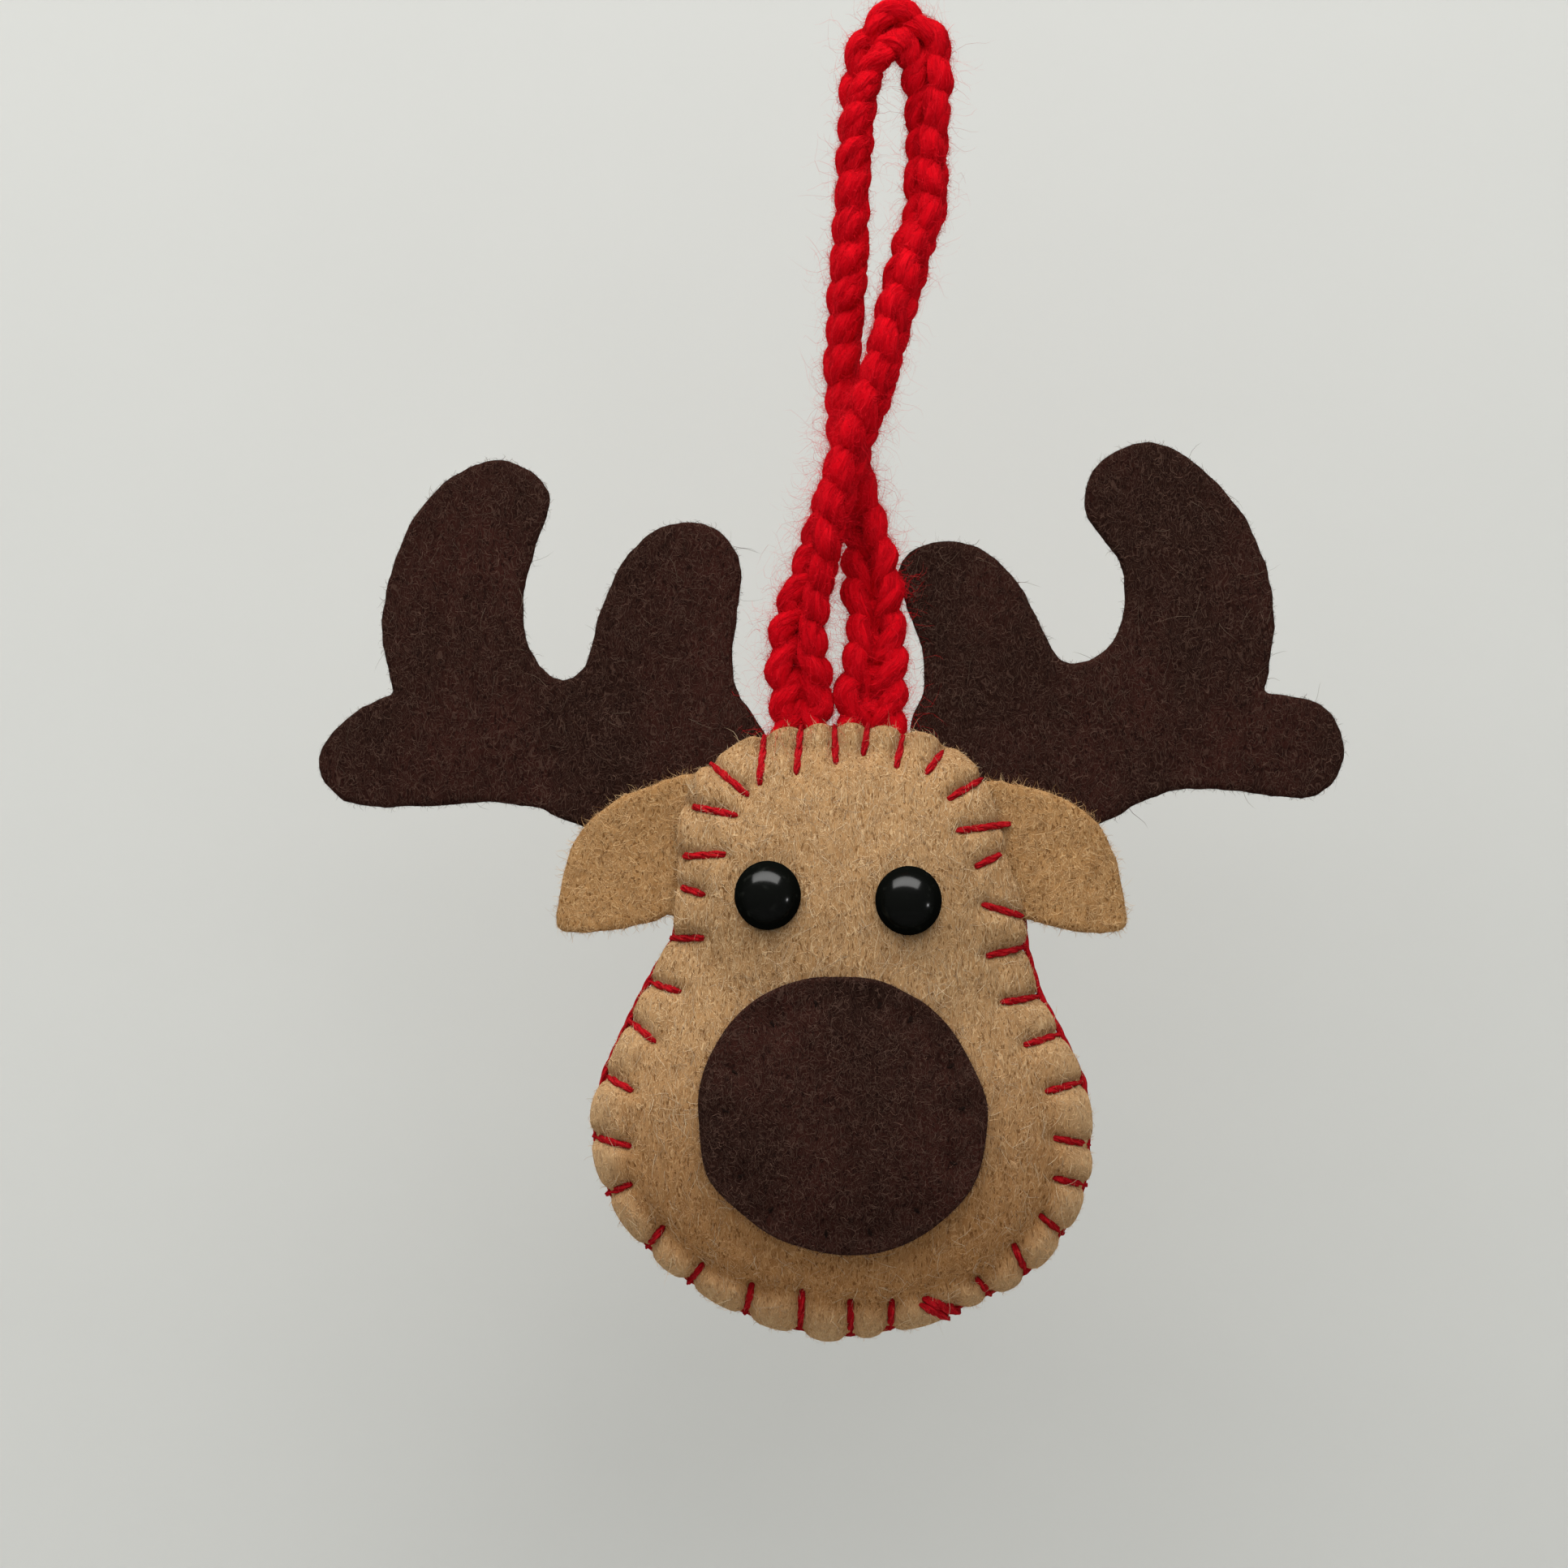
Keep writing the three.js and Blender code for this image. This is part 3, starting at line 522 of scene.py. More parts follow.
# All this is weaker by the ears and at the crown
EAR_CALM, CROWN_CALM, EAR_PUCKER_CALM, EAR_SCALLOP_CALM = 0.5, 0.4, 0.6, 0.8

# The stuffed felt's own rises: their heights and sizes
FACE_RISES, NOSE_RISES = [(0.28, 9.0), (0.1, 2.6)], (0.16, 5.0)

rim = even_line(HEAD_EDGE, count=SEGMENTS, closed=True)
rim_level = rim[:, 1]
rim_step = np.linalg.norm(np.roll(rim, -1, 0) - rim, axis=1).mean()
rim_along = np.roll(rim, -1, 0) - np.roll(rim, 1, 0)
rim_along /= np.linalg.norm(rim_along, axis=1)[:, None]
rim_inward = np.stack([rim_along[:, 1], -rim_along[:, 0]], 1)
rim_places = np.arange(SEGMENTS)
at_chin = ramp(rim_level, -58, -66)
at_crown = ramp(rim_level, -6, -2)
by_ear = ramp(rim_level, -6, -9) * ramp(rim_level, -25, -22)

# Where the stitches are on the rim, and how far each place is past one and short of the next
stitch_places = np.array([np.linalg.norm(rim - outer, axis=1).argmin() for outer, _ in STITCHES])
stitch_order = np.argsort(stitch_places)
rim_stops = stitch_places[stitch_order]
coming = np.searchsorted(rim_stops, rim_places, side="right") % len(rim_stops)
past = ((rim_places - rim_stops[coming - 1]) % SEGMENTS) * rim_step
ahead = ((rim_stops[coming] - rim_places - 1) % SEGMENTS + 1) * rim_step
rim_pull = nearness(past, PULL_WIDTH) + nearness(ahead, PULL_WIDTH)
rim_puff = np.sin(np.pi * past / (past + ahead)) * np.clip((past + ahead) / FULL_PUFF, 0.4, 1)
rim_scallop = (PULL_IN + CHIN_PULL_IN * at_chin) * rim_pull
rim_scallop = rim_scallop - (PUFF_OUT + CHIN_PUFF_OUT * at_chin) * rim_puff
rim_scallop = rim_scallop * (1 - EAR_SCALLOP_CALM * by_ear)
stitch_lengths = np.linalg.norm(STITCHES[:, 0] - STITCHES[:, 1], axis=1)
rim_bite = np.interp(rim_places, rim_stops, stitch_lengths[stitch_order], period=SEGMENTS)
rim_bite = rim_bite.clip(3.2, 5.6)


def seam_gap(z, side):
    """How far a panel's inside stands from the seam's middle, with room for ears and antlers."""
    foot = EAR_FOOT if side == FRONT else ANTLER_FOOT
    share = np.clip((z - foot) / CLOSING + 1, 0, 1)
    gap = CLOSED_GAP + (OPEN_GAP - CLOSED_GAP) * share * share * (3 - 2 * share)
    dip = SHOULDER_DIP * nearness(z - SHOULDER_LEVEL, SHOULDER_WIDTH)
    return gap - dip if side == FRONT else gap


def swell_share(flat):
    """How far points lie from the swell's centre, as a share of the way to the rim."""
    spokes = rim - SWELL_CENTRE
    angles = np.arctan2(spokes[:, 1], spokes[:, 0])
    order = np.argsort(angles)
    lengths = np.linalg.norm(spokes, axis=1)[order]
    out = flat - SWELL_CENTRE
    angle = np.arctan2(out[..., 1], out[..., 0])
    reach = np.interp(angle, angles[order], lengths, period=2 * np.pi)
    return np.linalg.norm(out, axis=-1) / reach


def face_depth(flat, share, side=FRONT):
    """How far a panel's outer face stands from the seam, before the stitches pull it in."""
    gap = seam_gap(flat[..., 1], side)
    return gap + RIM_LIFT + (OPEN_GAP + SWELL - gap) * (1 - np.clip(share, 0, 1) ** 3)


def eye_dimples(flat):
    far = np.stack([np.linalg.norm(flat - eye, axis=-1) for eye in EYES])
    return np.exp(-((far / DIMPLE_WIDTH) ** 6)).sum(0)


def nose_hollow(flat):
    """The felt is drawn in round the nose's lower edge."""
    from_edge = np.linalg.norm(flat - NOSE_CENTRE, axis=-1) - HOLLOW_RADIUS
    return HOLLOW_DEPTH * ramp(flat[..., 1], -52, -60) * nearness(from_edge, HOLLOW_WIDTH)


def near_stitch(flat, width):
    """How near points lie to a stitch, from 0 to 1."""
    near = np.zeros(flat.shape[:-1])
    for outer, inner in STITCHES:
        along = inner - outer
        share = np.clip(((flat - outer) @ along) / (along @ along), -0.4, 1)
        far = np.linalg.norm(flat - outer - share[..., None] * along, axis=-1)
        near = np.maximum(near, nearness(far, width))
    return near


def put_faces_in_order(piece):
    """Sort a new ball's faces, which come in another order each run, so that fibres stay put."""
    work = bmesh.new()
    work.from_mesh(piece.data)
    count = len(work.verts)
    work.faces.sort(key=lambda face: face.verts[0].index * count + face.verts[1].index)
    work.to_mesh(piece.data)
    work.free()


def shell(name, face, side, edge_round, lining_rows=LINING_ROWS, marks=None):
    """A felt piece round one centre: a ball whose rings become face, cut edge and lining."""
    rows, segments = face.shape[:2]
    across = np.roll(face, -1, 1) - np.roll(face, 1, 1)
    outward = np.gradient(face, axis=0)
    normal = np.cross(across, outward)
    normal[0] = (0, side, 0)
    normal /= np.linalg.norm(normal, axis=-1)[..., None]
    normal *= np.sign(normal[..., 1:2] * side)
    lining = face - FELT * normal
    rim_out = outward[-1] / np.linalg.norm(outward[-1], axis=-1)[:, None]
    middle, half = (face[-1] + lining[-1]) / 2, (face[-1] - lining[-1]) / 2
    turns = np.pi * np.arange(1, CUT_ROWS + 1) / (CUT_ROWS + 1)
    cut = [middle + half * math.cos(t) + rim_out * edge_round * math.sin(t) for t in turns]
    picks = np.linspace(rows - 1, 0, lining_rows).round().astype(int)
    grid = np.concatenate([face, np.stack(cut), lining[picks]])
    rings = len(grid) - 1
    bpy.ops.mesh.primitive_uv_sphere_add(segments=segments, ring_count=rings, radius=1)
    piece = bpy.context.object
    piece.name = piece.data.name = name
    put_faces_in_order(piece)
    ball = np.array([v.co for v in piece.data.vertices])
    ball /= np.linalg.norm(ball, axis=1)[:, None]
    ring = np.rint(np.arccos(np.clip(ball[:, 2], -1, 1)) / np.pi * rings).astype(int)
    turn = np.arctan2(ball[:, 1], ball[:, 0]) / (2 * np.pi) * segments
    turn = np.rint(turn).astype(int) % segments
    move_points(piece, grid[ring, turn] + CROWN)
    for mark, values in (marks or {}).items():
        values = np.vstack([values, np.zeros((len(grid) - len(values), segments))])
        layer = piece.data.attributes.new(mark, "FLOAT", "POINT")
        layer.data.foreach_set("value", values[ring, turn].astype(np.float32))
    turned_out(piece)
    return piece


def head_panel(name, side, seed):
    """One face of the head: swollen, scalloped and puckered where the stitches pull it."""
    shares = 1 - (1 - np.linspace(0, 1, FACE_ROWS + 1)) ** 1.4
    flat = SWELL_CENTRE + (rim - SWELL_CENTRE) * shares[:, None, None]
    depth = face_depth(flat, np.broadcast_to(shares[:, None], flat.shape[:2]), side)
    inset = (1 - shares)[:, None] * np.linalg.norm(rim - SWELL_CENTRE, axis=1)
    flat = flat + rim_inward * rim_scallop[:, None] * nearness(inset, 2.5)[..., None]
    calm = (1 - EAR_CALM * by_ear) * (1 - CROWN_CALM * at_crown)
    pillow = nearness(inset / rim_bite - PILLOW_AT, PILLOW_WIDTH) * (0.35 + 0.65 * rim_puff)
    valley = nearness(inset - rim_bite - VALLEY_AT, VALLEY_WIDTH)
    pillow = (PILLOW + CHIN_PILLOW * at_chin) * pillow
    valley = (VALLEY + CHIN_VALLEY * at_chin) * valley
    depth = depth + calm * (pillow - valley)
    depth = depth - DENT * near_stitch(flat, DENT_WIDTH)
    pucker = PUCKER * near_stitch(flat, PUCKER_WIDTH) * nearness(inset, PUCKER_REACH)
    depth = depth - pucker * (1 - EAR_PUCKER_CALM * by_ear)
    if side == FRONT:
        depth = depth - DIMPLE_DEPTH * eye_dimples(flat)
        depth = depth - nose_hollow(flat)
    for i, (height, size) in enumerate(FACE_RISES):
        depth = depth + face_unevenness(flat, height, size, seed + i)
    face = np.stack([flat[..., 0], side * depth, flat[..., 1]], -1)
    # Painted light on the puffed tabs of the lower rim, palest at the rim, as a mark for the felt
    tabs = ramp(rim_level, -30, -50) * (0.5 + 0.5 * rim_puff)
    pale = np.clip(1 - (inset / rim_bite) ** 2, 0, 1) * tabs
    plain = np.zeros((len(face) + 1, SEGMENTS))
    marks = {
        # painted shade on the cut edge beside the ears
        "painted_seam_shade": np.vstack([plain, np.tile(by_ear, (CUT_ROWS - 1, 1))]),
        "painted_tab_light": np.vstack([pale, np.tile(pale[-1], (CUT_ROWS, 1))]),
    }
    return shell(name, face, side, edge_round=0.35, marks=marks)


# The nose's hidden stab stitches: how many, how far from its middle, how deep and how wide
STABS, STAB_RING, STAB_DENT, STAB_WIDTH = 14, 14.2, 0.5, 1.7


def nose_disc():
    """Cut by hand, so its edge wavers; the stab stitches dent it."""
    rows, segments = 26, 240
    rng = np.random.default_rng(4)
    angle = 2 * np.pi * np.arange(segments) / segments
    turns = np.linspace(0, 2 * np.pi, len(NOSE_REACH), endpoint=False)
    reach = np.interp(angle, turns, NOSE_REACH, period=2 * np.pi) + 0.08 * np.sin(11 * angle)
    blur = np.hanning(17) / np.hanning(17).sum()
    reach = np.convolve(np.tile(reach, 3), blur, "same")[segments : 2 * segments]
    shares = 1 - (1 - np.linspace(0, 1, rows)) ** 1.25
    ray = np.stack([np.cos(angle), np.sin(angle)], 1) * reach[:, None]
    flat = NOSE_CENTRE + ray * shares[:, None, None]
    depth = face_depth(flat, swell_share(flat)) + FELT + 0.35
    dents = []
    for i in range(STABS):
        at = 2 * np.pi * (i + rng.uniform(-0.2, 0.2)) / STABS
        dents.append(NOSE_CENTRE + STAB_RING * np.array([math.cos(at), math.sin(at)]))
        far = np.linalg.norm(flat - dents[-1], axis=-1)
        depth = depth - STAB_DENT * nearness(far, STAB_WIDTH)
    lift = ramp(shares, 0.84, 1)[:, None] ** 2
    depth = depth + 0.22 * lift * (1 + np.sin(9 * angle + 0.6))
    depth = depth + face_unevenness(flat, *NOSE_RISES, 9)
    face = np.stack([flat[..., 0], -depth, flat[..., 1]], -1)
    return shell("nose_felt", face, FRONT, edge_round=0.3, lining_rows=14), dents


front = dressed(head_panel("front_felt", FRONT, 1), TAN_FELT)
back = dressed(head_panel("back_felt", BACK, 5), TAN_FELT)
nose, nose_dents = nose_disc()
dressed(nose, BROWN_FELT)
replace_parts(front, "front_panel")
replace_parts(back, "back_panel")
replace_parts(nose, "nose")


# Ears, antlers and filling, from copies of their solids

# A cut-out's mesh step and swelling, and the heights and sizes of its waves, snips and grain
CUT_STEP, CUT_SWELL = 0.36, 0.16
WAVES, SNIPS, GRAIN = (0.22, 8.0), (0.25, 2.8), (0.07, 1.6)


def remade(node, name, voxel, smoothing):
    """A copy of a node's solid on an even mesh with softened edges, and its normals."""
    piece = linked(name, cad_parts[node].data.copy())
    turned_out(piece)
    applied(piece, "REMESH", mode="VOXEL", voxel_size=voxel * MM)
    applied(piece, "SMOOTH", factor=0.5, iterations=smoothing)
    return piece, np.array([v.normal for v in piece.data.vertices])


def cut_felt(node, name, material, seed, sway, trim=None, smoothing=9):
    """A flat cut-out that has softened, thickened at its face and bent a little in use."""
    piece, normals = remade(node, name, CUT_STEP, smoothing)
    points = points_of(piece) + normals * CUT_SWELL
    points[:, 1] += sway(points - CROWN)
    if trim:
        points[:, 2] += trim(points - CROWN)
    flat = points * (1, 0, 1)
    points[:, 1] += unevenness(flat, *WAVES, seed)
    edge = 1 - np.abs(normals[:, 1])
    snips = edge * unevenness(flat, *SNIPS, seed + 2)
    points += normals * (unevenness(points, *GRAIN, seed + 1) + snips)[:, None]
    move_points(piece, points)
    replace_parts(piece, node)
    return dressed(piece, material)


def ear_sway(p):
    out = ramp(np.abs(p[:, 0]), 20, 35)
    return -1.1 * np.sin(np.pi * out) * out + 0.9 * out**2


def ear_trim(p):
    """The ears' upper edges run straight into the seam."""
    across, on_right = p[:, 0], p[:, 0] > 0
    rise = np.where(across < 0, 1.4, 0.6) * ramp(np.abs(across), 21, 17.5)
    fall = np.where(on_right, 0.7, 0) * nearness(across - 21.3, 2.2)
    return ramp(p[:, 2], -14, -9) * (rise - fall)


def antler_sway(p):
    return 1.2 * ramp(np.abs(p[:, 0]), 14, 64) ** 2 + 0.8 * ramp(p[:, 2], 0, 33) ** 2


ears = {}
antlers = {}
for i, hand in enumerate(["left", "right"]):
    ear, antler = f"ear_{hand}", f"antler_{hand}"
    ears[hand] = cut_felt(ear, f"{ear}_felt", SHADED_EAR_FELT, 11 + i, ear_sway, ear_trim, smoothing=3)
    antlers[hand] = cut_felt(antler, f"{antler}_felt", BROWN_FELT, 15 + i, antler_sway)

fill, fill_normals = remade("stuffing", "fibre_fill", 0.9, 8)
fill_points = points_of(fill)
fill_points += fill_normals * (unevenness(fill_points, 0.3, 3.0, 21) - 0.3)[:, None]
move_points(fill, fill_points)
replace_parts(dressed(fill, fill_finish()), "stuffing")


# Eyes: half of their outline, out from the axis and up from the felt

SHANK_FOOT = [(0.0, -8.0), (1.2, -8.0)]
SHANK_RIDGE = [(1.35, -7.6), (1.6, -6.9), (1.35, -6.7)]
RIDGES, RIDGE_PITCH = 4, 1.8
EYE_FLANGE = [(1.35, -0.35), (3.5, -0.3), (3.85, -0.1), (4.0, 0.3), (4.0, 0.7)]
DOME_RADIUS, DOME_FOOT, DOME_HEIGHT = 4.0, 0.7, 3.7


def eye(hand, spot, material):
    """A polished dome on a ridged shank, turned about its own axis and set on the felt."""
    profile = [*SHANK_FOOT]
    for i in range(RIDGES):
        profile += [(out, up + RIDGE_PITCH * i) for out, up in SHANK_RIDGE]
    profile += EYE_FLANGE
    for t in np.linspace(0, np.pi / 2, 24)[1:-1]:
        profile.append((DOME_RADIUS * math.cos(t), DOME_FOOT + DOME_HEIGHT * math.sin(t)))
    profile.append((0.0, DOME_FOOT + DOME_HEIGHT))
    mesh = bpy.data.meshes.new(f"eye_{hand}_dome")
    edges = [(i, i + 1) for i in range(len(profile) - 1)]
    mesh.from_pydata([(out * MM, 0, up * MM) for out, up in profile], edges, [])
    piece = linked(mesh.name, mesh)
    make_active(piece)
    bpy.ops.object.mode_set(mode="EDIT")
    bpy.ops.mesh.select_all(action="SELECT")
    bpy.ops.mesh.spin(steps=72, angle=2 * math.pi, center=(0, 0, 0), axis=(0, 0, 1))
    bpy.ops.object.mode_set(mode="OBJECT")
    turned_out(piece)
    step = 0.4
    around = np.array([(step, 0), (-step, 0), (0, step), (0, -step), (0, 0)])
    right, left, above, below, here = face_depth(spot + around, swell_share(spot + around))
    normal = Vector(((right - left) / -2 / step, -1, (above - below) / -2 / step))
    turn = np.array(Vector((0, 0, 1)).rotation_difference(normal).to_matrix())
    seat = np.array([spot[0], 0.25 - here, spot[1]]) + CROWN
    move_points(piece, points_of(piece) @ turn.T * (1, 1, 1.04) + seat)
    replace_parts(piece, f"eye_{hand}")
    return dressed(piece, material)


eye_gloss = eye_finish()
washer_plastic = washer_finish()
for hand, spot in zip(["left", "right"], EYES):
    eye(hand, spot, eye_gloss)
    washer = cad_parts[f"eye_washer_{hand}"]
    washer.data.materials.clear()
    washer.data.materials.append(washer_plastic)


# Threads


def frames_along(points):
    """Directions along a line and two across it that turn with it and don't twist."""
    along = np.gradient(points, axis=0)
    along /= np.linalg.norm(along, axis=1)[:, None]
    side = np.zeros_like(along)
    start = np.cross(along[0], (0.3, 0.9, 0.2))
    side[0] = start / np.linalg.norm(start)
    for i in range(1, len(points)):
        turned = side[i - 1] - along[i] * (side[i - 1] @ along[i])
        side[i] = turned / np.linalg.norm(turned)
    return along, side, np.cross(along, side)


def twisted(points, radius, strands, pitch, start=0.0, spread=0.5):
    """Strands laid round a line, as (points, radii)."""
    _, side, up = frames_along(points)
    radius = np.broadcast_to(radius, len(points))
    laid = []
    for i in range(strands):
        turn = start + 2 * np.pi * (length_along(points) / pitch + i / strands)
        off = side * np.cos(turn)[:, None] + up * np.sin(turn)[:, None]
        laid.append((points + off * radius[:, None] * spread, radius * (1.02 - spread)))
    return laid


def strands_mesh(name, strands, sides):
    """Round strands with closed ends; their map runs along and round each one."""
    points, walls, ends, uv, start = [], [], [], [], 0
    ring = np.arange(sides)
    angle = (2 * np.pi * ring / sides)[None, :, None]
    for line, radii in strands:
        _, side, up = frames_along(line)
        off = side[:, None] * np.cos(angle) + up[:, None] * np.sin(angle)
        points.append((line[:, None] + off * radii[:, None, None]).reshape(-1, 3))
        row = start + np.arange(len(line) - 1)[:, None] * sides
        here, beside = row + ring, row + (ring + 1) % sides
        walls.append(np.stack([here, beside, beside + sides, here + sides], -1).reshape(-1, 4))
        ends += [start + ring[::-1], start + (len(line) - 1) * sides + ring]
        along = np.repeat(length_along(line) * MM, sides)
        uv.append(np.stack([along, np.tile(ring / sides, len(line))], 1))
        start += len(line) * sides
    return woven_mesh(name, np.vstack(points), [np.vstack(walls), np.stack(ends)], np.vstack(uv))


def tree_of(piece):
    piece.data.calc_loop_triangles()
    faces = [tuple(t.vertices) for t in piece.data.loop_triangles]
    return BVHTree.FromPolygons([tuple(p) for p in points_of(piece)], faces)


front_tree, back_tree = tree_of(front), tree_of(back)
FLOSS_LAY = {"strands": 3, "pitch": 7.0, "spread": 0.42}
STITCH_RADIUS, FINISHING_RADIUS, RUN_RADIUS = 0.5, 0.85, 0.44

# A stitch lies on the felt, dives in at its inner end and goes past the edge at its outer one
STITCH_ABOVE, DIVE_BACK, DIVE_DEPTH = 0.16, 0.25, 0.9
PAST_CLOSED_SEAM, PAST_OPEN_SEAM = 0.65, 0.1

# The run between stitches lies inside the edge, but a little outside it at the waist
RUN_INSET, WAIST_INSET = 0.4, -0.1


def on_felt(tree, side, flat, above):
    """The point over a panel at a place on the face, or None past its edge."""
    spot = Vector((flat[0] + CROWN[0], side * 40.0, flat[1] + CROWN[2]))
    hit = tree.ray_cast(spot, Vector((0, -side, 0)))[0]
    return None if hit is None else np.array(hit) + (0, side * above, 0) - CROWN


def stitch_line(tree, side, outer, inner):
    """One stitch: out of the felt at its inner end, over the face and round the edge."""
    out = (outer - inner) / np.linalg.norm(outer - inner)
    line = []
    for share in np.linspace(0, 1, 9):
        point = on_felt(tree, side, inner + (outer - inner) * share, STITCH_ABOVE)
        if point is not None:
            line.append(point)
    dive = line[0] + (out[0] * -DIVE_BACK, -side * DIVE_DEPTH, out[1] * -DIVE_BACK)
    last = line[-1]
    if outer[1] < EAR_FOOT - 2:
        rest, over = 0.0, PAST_CLOSED_SEAM
    else:
        rest, over = side * seam_gap(outer[1], side), PAST_OPEN_SEAM
    past_edge = np.array([out[0], 0, out[1]]) * max(over, (outer - last[[0, 2]]) @ out)
    round_edge = last * (1, 0.5, 1) + past_edge + (0, rest * 0.5, 0)
    return np.array([dive, *line, round_edge, last * (1, 0, 1) + past_edge * 0.8 + (0, rest, 0)])


def edge_run():
    """The thread that runs along the edge from stitch to stitch, taut between them."""
    waist = (rim_level > -46) & (rim_level < np.where(rim[:, 0] > 0, -22, -29))
    stops = (rim + np.where(waist, WAIST_INSET, RUN_INSET)[:, None] * rim_inward)[rim_stops]
    level = stops[:, 1]
    behind_tabs = np.maximum(seam_gap(level, BACK) + 0.1, 0.6)
    depth = np.where(level < EAR_FOOT - 0.7, 0.0, behind_tabs)
    run = np.stack([stops[:, 0], depth, level], 1) + CROWN
    taut = [run + (np.roll(run, -1, 0) - run) * share for share in (0.06, 0.3, 0.5, 0.7, 0.94)]
    run = np.stack(taut, 1).reshape(-1, 3)
    return even_line(np.vstack([run, run[:1]]), step=0.4)


def edge_threads():
    """The blanket stitch: a stitch on both faces at each place, and the run between them."""
    strands = []
    for i, (outer, inner) in enumerate([*STITCHES, KNOT]):
        radius = FINISHING_RADIUS if i == FINISHING else STITCH_RADIUS
        sides = [(front_tree, FRONT), (back_tree, BACK)]
        if i == len(STITCHES):
            sides = sides[:1]
        for tree, side in sides:
            line = even_line(stitch_line(tree, side, outer, inner) + CROWN, step=0.28)
            ends = np.minimum(np.arange(len(line)), np.arange(len(line))[::-1])
            tapered = radius * (0.5 + 0.5 * ramp(ends, 0, 7))
            strands += twisted(line, tapered, start=i, **FLOSS_LAY)
    strands += twisted(edge_run(), RUN_RADIUS, **FLOSS_LAY)
    return strands_mesh("edge_stitches", strands, 6)


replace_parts(dressed(edge_threads(), FLOSS), "edge_thread")


def nose_threads():
    """Small matching stitches, sunk in the nose's dents."""
    nose_tree = tree_of(nose)
    strands = []
    for spot in nose_dents:
        out = (spot - NOSE_CENTRE) / np.linalg.norm(spot - NOSE_CENTRE)
        stops = [(-0.6, -0.5), (-0.25, -0.02), (0.25, -0.02), (0.6, -0.5)]
        line = [on_felt(nose_tree, FRONT, spot + out * far, above) for far, above in stops]
        strands += twisted(even_line(np.array(line) + CROWN, step=0.2), 0.24, 2, 2.0)
    return strands_mesh("nose_stitches", strands, 5)


dressed(nose_threads(), BROWN_FLOSS)


# The crocheted chain

CHAIN_PITCH = 4.15
YARN_RADIUS, YARN_PLIES, PLY_SIDES = 1.5, 3, 8
RIGHT_END = [(-2.7, 0, -86.6), (-2.8, 0, -82.5)]
LEFT_END = [(-11.6, 0, -82.5), (-11.8, 0, -86.6)]
loop_line = even_line(np.vstack([RIGHT_END, LOOP_ROUTE[::-1], LEFT_END]), step=0.4)
loop_reach = length_along(loop_line)
loop_length = loop_reach[-1]

# One chain stitch: along it in pitches, across it and out of its face in millimetres
CHAIN_LEG = np.array([
    (0.0, 0.40, -0.7), (0.22, 0.75, 0.05), (0.58, 1.5, 0.95), (1.02, 2.1, 0.9), (1.36, 1.25, 0.0),
])
CHAIN_TOP = np.array([(1.53, 0, -0.4)])
CHAIN_BACK = np.array([(0.35, -0.5, -0.95), (0.72, 0.5, -0.95)])

# How wide the chain lies, by shares of the way from its right foot to its left
WIDTH_STOPS = [0, 0.05, 0.08, 0.13, 0.22, 0.44, 0.5, 0.56, 0.78, 0.87, 0.95, 1]
WIDTHS = [1.42, 1.5, 1.24, 1.08, 0.86, 0.86, 1.0, 0.86, 0.86, 1.08, 1.18, 1.1]

# How thick it is: squeezed in the seam, by the distance from its end, and slim on one strand
TUCK_STOPS, TUCK_THICKNESS = [0, 7, 11], [0.42, 0.5, 1.0]
SLIM_STOPS, SLIM_THICKNESS = [0.2, 0.26, 0.42, 0.48], [1.0, 0.72, 0.72, 1.0]

# Which way the chain's face looks, by the same shares
FACE_STOPS = [0, 0.08, 0.15, 0.2, 0.43, 0.475, 0.5, 0.525, 0.57, 0.63, 0.7, 0.84, 0.9, 0.95, 1]
FACE_WAYS = np.array([
    (0.1, -1, 0), (0, -1, 0), (-0.6, -0.8, 0), (-1, -0.3, 0), (-1, -0.1, 0), (-0.6, -1, 0),
    (0, -1, 0.2), (-0.2, -1, 0), (-0.85, -0.5, 0), (-0.85, -0.5, 0), (-1, -0.15, 0),
    (-1, -0.2, 0), (-0.6, -0.8, 0), (-0.1, -1, 0), (0.1, -1, 0),
])


